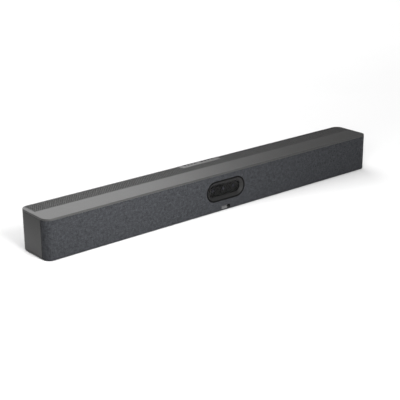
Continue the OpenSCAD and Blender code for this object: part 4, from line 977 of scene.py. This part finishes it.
# Shutter knob: a finger scoop whose lower lip faces up, with upright ribs in the scoop
def makeKnob():
    sizes = {"end": 0.35 * mm, "lip": 0.8 * mm, "scoop": 1.5 * mm, "ribs": 5, "rib": 0.4 * mm,
             "ribEdge": 0.12 * mm, "ribSpan": 0.7, "edge": 0.3 * mm}
    low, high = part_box("shutter_knob")
    lip = sizes["lip"]
    deep = low.y + sizes["scoop"]
    e = sizes["edge"]
    outline = [(low.y + e, low.z), (low.y, low.z + e), (low.y, low.z + lip),
               (low.y + 0.5 * e, low.z + lip + e), (deep - e, low.z + 2.3 * lip),
               (deep, low.z + 2.8 * lip), (deep, high.z - 2 * lip),
               (deep - 0.3 * e, high.z - 1.4 * lip), (low.y + 1.5 * e, high.z - 0.6 * lip),
               (low.y + e, high.z - e), (low.y + 2 * e, high.z), (high.y, high.z), (high.y, low.z)]
    end = sizes["end"]
    middle = (low + high) / 2

    def section(x, inset):
        shrink = 1 - inset / (high.z - low.z) * 2
        return [(x, middle.y + (y - middle.y) * shrink, middle.z + (z - middle.z) * shrink)
                for y, z in outline]

    parts = [loft("scoop", [section(low.x, end), section(low.x + end, 0), section(high.x - end, 0),
                            section(high.x, end)])]
    span = (high.x - low.x) * sizes["ribSpan"]
    half = sizes["rib"] / 2
    for i in range(sizes["ribs"]):
        x = middle.x + span * (i / (sizes["ribs"] - 1) - 0.5)
        rib = boxObject((x - half, low.y + 0.5 * sizes["scoop"], low.z + 2.2 * lip),
                        (x + half, deep + half, high.z - 1.6 * lip))
        parts.append(soften(rib, sizes["ribEdge"]))
    knob = joinObjects("slider_knob", parts)
    smoothByAngle(knob)
    finishPiece(knob, "knob", "knob_plastic", "shutter_knob", body="shutter")


makeKnob()


# Cloth: a woven skin over the frame, turned in at its edges, at the window and at the slot
def makeCloth():
    sizes = {"cell": 0.95 * mm, "thick": 0.5 * mm, "roll": 0.9 * mm, "rollDepth": 0.4 * mm,
             "windowRoom": 2.2 * mm, "slotWidth": 16.2 * mm, "slotHeight": 5.4 * mm, "slotUp": 2.2 * mm,
             "slotCorner": 0.5 * mm, "slotRoom": 0.5 * mm, "slotRoomBelow": 0.2 * mm,
             "windowLoops": (0, 0.1, 0.25, 0.5, 1.0), "slotLoops": (0, 0.07, 0.2)}
    low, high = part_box("grille_fabric")
    fr = plan["frontRadius"]
    side = high.y - (low.y + fr)
    quarter = math.pi / 2 * fr
    length = 2 * side + 2 * quarter + high.x - low.x - 2 * fr
    height = high.z - low.z

    # Place on the case and outward direction for a distance along the cloth
    def along(s):
        way = 1 if s > length / 2 else -1
        s = min(s, length - s)
        if s < side:
            return Vector((way * high.x, high.y - s, 0)), Vector((way, 0, 0))
        if s < side + quarter:
            turn = (s - side) / fr
            out = Vector((way * math.cos(turn), -math.sin(turn), 0))
            return Vector((way * (high.x - fr), low.y + fr, 0)) + fr * out, out
        return Vector((way * (length / 2 - s), low.y, 0)), Vector((0, -1, 0))

    middle = length / 2
    reach = window["reach"]
    radius = window["height"] / 2
    windowT = window["z"] - low.z
    slotHalf = sizes["slotWidth"] / 2
    slotT = (sizes["slotUp"] - low.z, sizes["slotUp"] - low.z + sizes["slotHeight"])

    def windowRing(grow):
        return [(middle + x, windowT + z) for x, z in stadium(reach, radius + grow, 36)]

    def slotRing(grow):
        points = roundedRect(-slotHalf - grow, slotT[0] - grow, slotHalf + grow, slotT[1] + grow,
                             sizes["slotCorner"] + grow, 3)
        return [(middle + x, z) for x, z in points]

    def windowDistance(s, t):
        nearest = max(-reach, min(reach, s - middle))
        return math.hypot(s - middle - nearest, t - windowT) - radius

    def slotDistance(s, t):
        dx = abs(s - middle) - slotHalf
        dz = max(slotT[0] - t, t - slotT[1])
        return math.hypot(max(dx, 0), max(dz, 0))

    columns = round(length / sizes["cell"])
    rows = round(height / sizes["cell"])
    stepS = length / columns
    stepT = height / rows

    # Rows and columns left out round an opening: first and last cell each way
    def block(halfWidth, t0, t1):
        return (math.floor((middle - halfWidth) / stepS), math.ceil((middle + halfWidth) / stepS),
                max(1, math.floor(t0 / stepT)), math.ceil(t1 / stepT))

    room = sizes["windowRoom"]
    openings = [
        (block(window["width"] / 2 + room, windowT - radius - room, windowT + radius + room),
         [windowRing(grow * mm) for grow in sizes["windowLoops"]]),
        (block(slotHalf + sizes["slotRoom"], slotT[0] - sizes["slotRoomBelow"], slotT[1] + sizes["slotRoom"]),
         [slotRing(grow * mm) for grow in sizes["slotLoops"]])]
    bm = bmesh.new()
    grid = [[bm.verts.new((i * stepS, j * stepT, 0)) for j in range(rows + 1)] for i in range(columns + 1)]
    for i in range(columns):
        for j in range(rows):
            if not any(i0 <= i < i1 and j0 <= j < j1 for (i0, i1, j0, j1), rings in openings):
                bm.faces.new((grid[i][j], grid[i + 1][j], grid[i + 1][j + 1], grid[i][j + 1]))
    for (i0, i1, j0, j1), rings in openings:
        loops = [[bm.verts.new((x, y, 0)) for x, y in ring] for ring in rings]
        for near, far in zip(loops, loops[1:]):
            for k in range(len(near)):
                n = (k + 1) % len(near)
                bm.faces.new((near[n], near[k], far[k], far[n]))
        border = ([grid[i][j0] for i in range(i0, i1)] + [grid[i1][j] for j in range(j0, j1)]
                  + [grid[i][j1] for i in range(i1, i0, -1)] + [grid[i0][j] for j in range(j1, j0, -1)])
        pairs = [pair for loop in (border, loops[-1]) for pair in zip(loop, loop[1:] + loop[:1])]
        edges = [bm.edges.get(pair) or bm.edges.new(pair) for pair in pairs]
        bmesh.ops.triangle_fill(bm, use_beauty=True, edges=edges, normal=(0, 0, 1))
    bmesh.ops.delete(bm, geom=[v for v in bm.verts if not v.link_faces], context="VERTS")
    bmesh.ops.recalc_face_normals(bm, faces=bm.faces)
    if sum(face.normal.z for face in bm.faces) < 0:
        bmesh.ops.reverse_faces(bm, faces=bm.faces)

    # The flat cloth is its map; then it goes round the frame, its edges rolled inwards
    layer = bm.loops.layers.uv.new("flat")
    for face in bm.faces:
        for loop in face.loops:
            loop[layer].uv = loop.vert.co.xy
    for vert in bm.verts:
        s, t = vert.co.xy
        place, out = along(s)
        toEdge = min(t, height - t, s, length - s, windowDistance(s, t), slotDistance(s, t))
        turn = max(0.0, 1 - toEdge / sizes["roll"])
        sink = sizes["rollDepth"] * (1 - math.sqrt(max(0.0, 1 - turn * turn)))
        vert.co = place - sink * out + Vector((0, 0, low.z + t))
    bm.normal_update()
    frontPoint = Vector((-0.1, low.y, 0.03))
    frontFace = min(bm.faces, key=lambda face: (face.calc_center_median() - frontPoint).length)
    if frontFace.normal.y > 0:
        bmesh.ops.reverse_faces(bm, faces=bm.faces)
    cloth = bmeshObject("cloth_wrap", bm)
    solid = cloth.modifiers.new("thickness", "SOLIDIFY")
    solid.thickness = sizes["thick"]
    solid.offset = -1
    bake(cloth)
    smoothByAngle(cloth, 60)
    finishPiece(cloth, "cloth", "cloth", "grille_fabric")
    print("cloth", round(length, 4), "by", round(height, 4), len(cloth.data.polygons), "faces")


makeCloth()
print("cloth made")


# Copies of one part on points, all facing one way, each with its own random turn
def makeScatterTree():
    tree, given, result = newTree("copies on points", {
        "Part": "Object", "Facing": (0.0, 0.0, 1.0), "Most Turn": 0.0, "Seed": 7, "Material": "Material"})
    part = addNode(tree, "GeometryNodeObjectInfo", {"As Instance": True, "Object": given["Part"]})
    align = addNode(tree, "FunctionNodeAlignRotationToVector", {"Vector": given["Facing"]}, axis="Z")
    turn = addNode(tree, "FunctionNodeRandomValue", {3: given["Most Turn"], "Seed": given["Seed"]},
                   data_type="FLOAT")
    about = addNode(tree, "FunctionNodeAxisAngleToRotation", {"Axis": (0, 0, 1), "Angle": turn.outputs[1]})
    rotated = addNode(tree, "FunctionNodeRotateRotation", {
        "Rotation": align.outputs[0], "Rotate By": about.outputs[0]}, rotation_space="LOCAL")
    copies = addNode(tree, "GeometryNodeInstanceOnPoints", {
        "Points": given["Geometry"], "Instance": part.outputs["Geometry"], "Rotation": rotated.outputs[0]})
    return endTree(result, copies.outputs[0], given["Material"])


scatterTree = makeScatterTree()


def copiesOf(part, places, facing, material, mostTurn=0.0, seed=7):
    points = bpy.data.meshes.new("places")
    points.from_pydata([tuple(place) for place in places], [], [])
    copies = runTree(part.name + "_copies", points, scatterTree, {
        "Part": part, "Facing": Vector(facing), "Most Turn": mostTurn, "Seed": seed,
        "Material": materials[material]})
    bpy.data.objects.remove(part)
    return copies


# Screws: a domed head with a cross recess, copied to where the frame has them
def makeScrews(name, node, facing, headHeight, seed):
    sizes = {"dome": 0.22, "recess": 0.62, "bar": 0.2, "shankShare": 0.5, "deepShare": 0.62}
    axis = max(range(3), key=lambda i: abs(facing[i]))
    kinds = {}
    for low, high in solidsOf(node):
        place = (low + high) / 2
        place[axis] = high[axis] if facing[axis] > 0 else low[axis]
        width = min(high[i] - low[i] for i in range(3) if i != axis)
        kinds.setdefault((round(high[axis] - low[axis], 5), round(width, 5)), []).append(place)
    parts = []
    for (length, width), places in sorted(kinds.items()):
        r = width / 2
        dome = sizes["dome"] * headHeight
        shank = r * sizes["shankShare"]
        profile = [(core, 0), (0.55 * r, -0.12 * dome), (0.85 * r, -0.55 * dome),
                   (r, -dome - 0.1 * headHeight), (r, -headHeight), (shank, -headHeight),
                   (shank, -length + shank), (core, -length)]
        screw = turned("screw", profile, (0, 0, 0), (0, 0, 1), 24)
        half = r * sizes["recess"]
        bar = half * sizes["bar"]
        deep = headHeight * sizes["deepShare"]
        carve(screw, [boxObject((-x, -y, -deep), (x, y, headHeight)) for x, y in ((half, bar), (bar, half))])
        smoothByAngle(screw)
        parts.append(copiesOf(screw, places, facing, "screw", math.pi, seed))
    finishPiece(joinObjects(name, parts), "screw", "screw_steel", node)


makeScrews("case_screw_set", "case_screws", (0, 0, -1), 1.6 * mm, 3)
makeScrews("rear_screw_set", "rear_screws", (0, 1, 0), 1.2 * mm, 5)
makeScrews("board_screw_set", "board_screws", (0, 0, 1), 1.6 * mm, 11)
print("screws made")


# Rubber feet: rounded rim and a shallow groove in the sole
def makeFeet():
    sizes = {"rim": 0.6 * mm, "groove": 0.15 * mm}
    rim = sizes["rim"]
    g = sizes["groove"]
    feet = []
    for low, high in solidsOf("feet"):
        r = (high.x - low.x) / 2
        tall = high.z - low.z
        profile = [(core, g), (0.35 * r, g), (0.4 * r, 0), (0.6 * r, 0), (0.62 * r, g), (0.7 * r, g),
                   (0.72 * r, 0), (r - rim, 0), (r - 0.3 * rim, 0.1 * rim), (r, 0.6 * rim), (r, tall),
                   (core, tall)]
        feet.append(turned("foot", profile, centre(low, high, z=low.z), (0, 0, 1)))
    finishPiece(joinObjects("rubber_feet", feet), "rubber", "rubber", "feet")


makeFeet()


# Flat sockets: a folded shell with a rolled mouth, a black tongue, and gold contacts on it
def makeFlatSocket(name, node, corner, tongueShare, contactCount, double):
    sizes = {"wall": 0.5 * mm, "back": 2 * mm, "lip": 0.12 * mm, "tongue": 1 * mm, "tongueSet": 1.2 * mm,
             "tongueIn": 1 * mm, "tongueEdge": 0.15 * mm, "contactWidth": 0.45, "contact": 0.1 * mm,
             "contactEnd": 0.8 * mm, "leastRound": 0.05 * mm, "roundRoom": 0.001 * mm}
    lip = sizes["lip"]
    wall = sizes["wall"]
    shells = []
    tongues = []
    contacts = []
    for low, high in solidsOf(node):
        x, z = (low.x + high.x) / 2, (low.z + high.z) / 2
        halfX = (high.x - low.x) / 2
        halfZ = (high.z - low.z) / 2

        def ring(grow, y):
            r = min(corner, halfZ) - (wall if grow < -wall / 2 else 0)
            r = max(sizes["leastRound"], min(r, halfZ + grow - sizes["roundRoom"]))
            points = roundedRect(-halfX - grow, -halfZ - grow, halfX + grow, halfZ + grow, r, 6)
            return [(x + px, y, z + pz) for px, pz in points]

        shells.append(loft("shell", [ring(0, low.y), ring(0, high.y - lip), ring(-lip, high.y),
                                     ring(lip - wall, high.y), ring(-wall, high.y - lip),
                                     ring(-wall, low.y + sizes["back"])]))
        foot = low.z + wall + tongueShare * (high.z - low.z - 2 * wall - sizes["tongue"])
        x0 = low.x + sizes["tongueSet"]
        x1 = high.x - sizes["tongueSet"]
        y0 = low.y + sizes["back"] / 2
        y1 = high.y - sizes["tongueIn"]
        tongue = boxObject((x0, y0, foot), (x1, y1, foot + sizes["tongue"]))
        tongues.append(soften(tongue, sizes["tongueEdge"]))
        pitch = (x1 - x0) / contactCount
        half = pitch * sizes["contactWidth"] / 2
        for level in (foot, foot + sizes["tongue"])[:2 if double else 1]:
            strip = boxObject((-half, y0 - y1, 0), (half, -sizes["contactEnd"], sizes["contact"]))
            places = [(x0 + pitch * (i + 0.5), y1, level - sizes["contact"] / 2) for i in range(contactCount)]
            contacts.append(copiesOf(strip, places, (0, 0, 1), "gold"))
    shell = joinObjects(name + "_shell", shells)
    smoothByAngle(shell)
    finishPiece(shell, "steel", "steel", node)
    finishPiece(joinObjects(name + "_tongue", tongues), "black", "black_plastic")
    finishPiece(joinObjects(name + "_contacts", contacts), "gold", "brass")


makeFlatSocket("hdmi", "hdmi_ports", 1.2 * mm, 0.5, 10, True)
makeFlatSocket("usb_a", "usb_a_port", 0.7 * mm, 0.8, 4, False)
makeFlatSocket("usb_c", "usb_c_port", 1.8 * mm, 0.5, 6, True)


# Network socket: softened shell, eight sprung wires, and two small lamps beside the latch
def makeNetworkSocket():
    sizes = {"wire": 0.4 * mm, "pitch": 1.02 * mm, "count": 8, "from": 2.5 * mm, "reach": 9 * mm,
             "rise": 2.6 * mm, "base": 1.75 * mm, "bend": (0.4 * mm, 0.3 * mm), "hook": (0.3 * mm, 0.25 * mm),
             "lamp": 2.2 * mm, "lampHeight": 1.3 * mm, "lampAway": 6 * mm, "lampDrop": 2.2 * mm,
             "lampDeep": 1 * mm, "lampProud": 0.05 * mm, "edge": 0.15 * mm}
    low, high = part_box("lan_port")
    finishPiece(softenedNode("network_shell", "lan_port", sizes["edge"]), "steel", "steel", "lan_port")
    middle = (low.x + high.x) / 2
    half = sizes["wire"] / 2
    y = high.y - sizes["from"]
    z = low.z + sizes["base"]
    end = y - sizes["reach"]
    top = z + sizes["rise"]
    bend, hook = sizes["bend"], sizes["hook"]
    path = [(y, z), (y - bend[0], z + bend[1]), (end, top), (end - hook[0], top - hook[1])]
    wire = loft("wire", [[(-half, py, pz - half), (half, py, pz - half), (half, py, pz + half),
                          (-half, py, pz + half)] for py, pz in path])
    places = [(middle + sizes["pitch"] * (i - (sizes["count"] - 1) / 2), 0, 0) for i in range(sizes["count"])]
    finishPiece(copiesOf(wire, places, (0, 0, 1), "gold"), "gold", "brass").name = "network_wires"
    lamps = []
    half = sizes["lamp"] / 2
    z = high.z - sizes["lampDrop"]
    for x in (middle - sizes["lampAway"], middle + sizes["lampAway"]):
        lamp = boxObject((x - half, high.y - sizes["lampDeep"], z),
                         (x + half, high.y + sizes["lampProud"], z + sizes["lampHeight"]))
        lamps.append(soften(lamp, sizes["edge"]))
    finishPiece(joinObjects("network_lamps", lamps), "lamp", "pad")


makeNetworkSocket()


# Power inlet, audio socket and wall inserts
def makeRoundSockets():
    sizes = {"edge": 0.2 * mm, "pin": 1.03 * mm, "pinLength": 8.15 * mm, "pinBack": 2.2 * mm,
             "pinHollow": 1.15 * mm, "pinShoulder": 0.55 * mm, "pinRound": 0.05 * mm, "ringInner": 1.83 * mm,
             "ringOuter": 2.7 * mm, "ringBack": 2 * mm, "ring": 0.35 * mm, "ringDeep": 0.6 * mm,
             "ringProud": 0.05 * mm, "thread": 0.35 * mm, "pitch": 0.7 * mm, "bore": 2.02 * mm,
             "mouth": 0.4 * mm, "plain": 1 * mm}
    edge = sizes["edge"]
    finishPiece(softenedNode("power_inlet", "dc_jack", edge), "black", "black_plastic", "dc_jack")
    low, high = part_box("dc_jack")
    r = sizes["pin"]
    end = sizes["pinLength"]
    hollow = end - sizes["pinHollow"]
    profile = [(core, 0), (r, 0), (r, end - sizes["pinShoulder"]), (0.8 * r, end - sizes["pinRound"]),
               (0.35 * r, end), (0.3 * r, hollow), (core, hollow)]
    place = centre(low, high, y=low.y + sizes["pinBack"])
    finishPiece(turned("inlet_pin", profile, place, (0, 1, 0), 24), "brass", "brass")
    finishPiece(softenedNode("audio_socket", "audio_jack", edge), "black", "black_plastic", "audio_jack")
    low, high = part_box("audio_jack")
    t = sizes["ring"]
    inner, outer, back, deep = [sizes[key] for key in ("ringInner", "ringOuter", "ringBack", "ringDeep")]
    profile = [(inner, -deep), (inner, 0), (outer, 0), (outer, -t / 2), (back, -t), (back, -deep)]
    place = centre(low, high, y=high.y + sizes["ringProud"])
    finishPiece(turned("audio_ring", profile, place, (0, 1, 0), 40, closeLoop=True), "steel", "steel")
    inserts = []
    for low, high in solidsOf("wall_inserts"):
        outer = (high.x - low.x) / 2
        inner = sizes["bore"]
        depth = high.y - low.y
        mouth = sizes["mouth"]
        profile = [(outer, edge), (outer, depth - edge), (outer - edge, depth), (inner + mouth, depth)]
        for i in range(int((depth - sizes["plain"]) / sizes["pitch"])):
            y = depth - mouth - i * sizes["pitch"]
            profile += [(inner + sizes["thread"], y), (inner, y - sizes["pitch"] / 2)]
        profile += [(inner, 0), (outer - edge, 0)]
        place = centre(low, high, y=low.y)
        inserts.append(turned("insert", profile, place, (0, 1, 0), 40, closeLoop=True))
    finishPiece(joinObjects("threaded_inserts", inserts), "brass", "brass", "wall_inserts")


makeRoundSockets()
print("sockets made")

# Frame shapes that only need their edges rounded, and their bodies
for pieceName, node, width, material, slotName, body in (
        ("power_cap", "power_button", 0.3, "button", "button_plastic", "power_key"),
        ("reset_cap", "reset_button", 0.15, "button", "button_plastic", "reset_key"),
        ("fin_block", "heat_sink", 0.12, "aluminium", "aluminium", "housing"),
        ("radio_cans", "shield_can", 0.25, "steel", "steel", "housing"),
        ("lock_slot_plate", "lock_plate", 0.15, "steel", "steel", "housing"),
        ("bracket_plate", "camera_bracket", 0.12, "bracket", "steel", "housing"),
        ("speaker_box_left", "left_speaker_box", 0.5, "black", "black_plastic", "housing"),
        ("speaker_box_right", "right_speaker_box", 0.5, "black", "black_plastic", "housing"),
        ("small_switches", "board_switches", 0.12, "black", "black_plastic", "housing")):
    finishPiece(softenedNode(pieceName, node, width * mm), material, slotName, node, body=body)
print("edges rounded")

# Frame nodes by finish, those behind a new piece among them
finishes = {
    "aluminium": ["cover_posts", "heat_sink"],
    "black": ["board_chips", "dc_jack", "audio_jack", "board_switches", "left_speaker_box",
              "right_speaker_box"],
    "blade": ["shutter_blade"],
    "board": ["main_board"],
    "bracket": ["camera_bracket"],
    "brass": ["antennas", "wall_inserts"],
    "button": ["power_button", "reset_button"],
    "cone": ["left_speaker_cone", "right_speaker_cone"],
    "flex": ["camera_flex"],
    "foam": ["speaker_gaskets"],
    "frame": ["grille_frame"],
    "gold": ["mic_capsules"],
    "redWire": ["speaker_wires"],
    "rubber": ["feet", "mic_boots", "speaker_surrounds", "antenna_leads"],
    "screw": ["case_screws", "rear_screws", "board_screws", "camera_screws"],
    "steel": ["shield_can", "lan_port", "hdmi_ports", "usb_c_port", "usb_a_port", "left_speaker_frame",
              "right_speaker_frame", "speaker_magnets", "lock_plate"],
    "thermal": ["thermal_pad"],
    "uprightBoard": ["camera_board", "mic_boards"],
    "whiteWire": ["mic_cables"],
}
for material, nodes in finishes.items():
    for node in nodes:
        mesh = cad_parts[node].data
        mesh.materials.clear()
        mesh.materials.append(materials[material])
print("frame nodes finished")


# Pale floor and soft studio light
def addStage():
    sizes = {"floor": 30.0}
    bm = bmesh.new()
    bmesh.ops.create_grid(bm, x_segments=1, y_segments=1, size=sizes["floor"] / 2)
    floor = bmeshObject("floor", bm)
    material, shader, place = newMaterial("pale floor", {"Roughness": 0.9, "Specular IOR Level": 0.1})
    tone = addGroup(toneGroup, place, {"Dark": tint(0.88), "Light": tint(0.92), "Scale": 2.0})
    feed(shader["Base Color"], tone["Color"])
    floor.data.materials.append(material)


def addSoftbox(name, azimuth, rise, distance, size, power):
    light = bpy.data.lights.new(name, "AREA")
    light.shape = "RECTANGLE"
    light.size, light.size_y = size
    light.energy = power
    box = addObject(name, light)
    direction = heading(azimuth, rise)
    box.location = direction * distance
    box.rotation_euler = direction.to_track_quat("Z", "Y").to_euler()
    box.visible_camera = False


# Even overhead light, dimmer near the horizon and towards three dark cards; a pale wall where it is seen
def addSky():
    levels = {"horizon": 0.10, "zenith": 1.77, "from": 0.25, "to": 0.8, "dimFrom": 0.55, "dimTo": 0.9,
              "wall": 0.93}
    cards = [{"azimuth": 60, "rise": 18, "share": 0.9}, {"azimuth": 268, "rise": 22, "share": 0.85},
             {"azimuth": 140, "rise": 18, "share": 0.75}]
    world = bpy.data.worlds.new("studio")
    bpy.context.scene.world = world
    world.use_nodes = True
    tree = world.node_tree
    direction = tree.nodes.new("ShaderNodeTexCoord").outputs["Generated"]

    def fade(value, low, high, start, end):
        ends = {"From Min": low, "From Max": high, "To Min": start, "To Max": end}
        return addNode(tree, "ShaderNodeMapRange", {"Value": value, **ends},
                       interpolation_type="SMOOTHSTEP").outputs["Result"]

    up = addNode(tree, "ShaderNodeSeparateXYZ", {0: direction}).outputs["Z"]
    strength = fade(up, levels["from"], levels["to"], levels["horizon"], levels["zenith"])
    for card in cards:
        toward = vectorMath("DOT_PRODUCT", direction, heading(card["azimuth"], card["rise"])).outputs["Value"]
        strength = times(strength, fade(toward, levels["dimFrom"], levels["dimTo"], 1.0, 1 - card["share"]))
    seen = tree.nodes.new("ShaderNodeLightPath").outputs["Is Camera Ray"]
    feedAll(tree.nodes["Background"].inputs, {
        "Color": (1, 1, 1, 1), "Strength": mixed(seen, strength, levels["wall"], "FLOAT")})


addStage()
addSky()
addSoftbox("rear softbox", azimuth=14.5, rise=26, distance=2.6, size=(2.2, 1.9), power=32)
addSoftbox("front softbox", azimuth=213, rise=31, distance=0.52, size=(0.25, 0.25), power=3.1)
bpy.context.scene.view_settings.view_transform = "Standard"
print("stage lit")
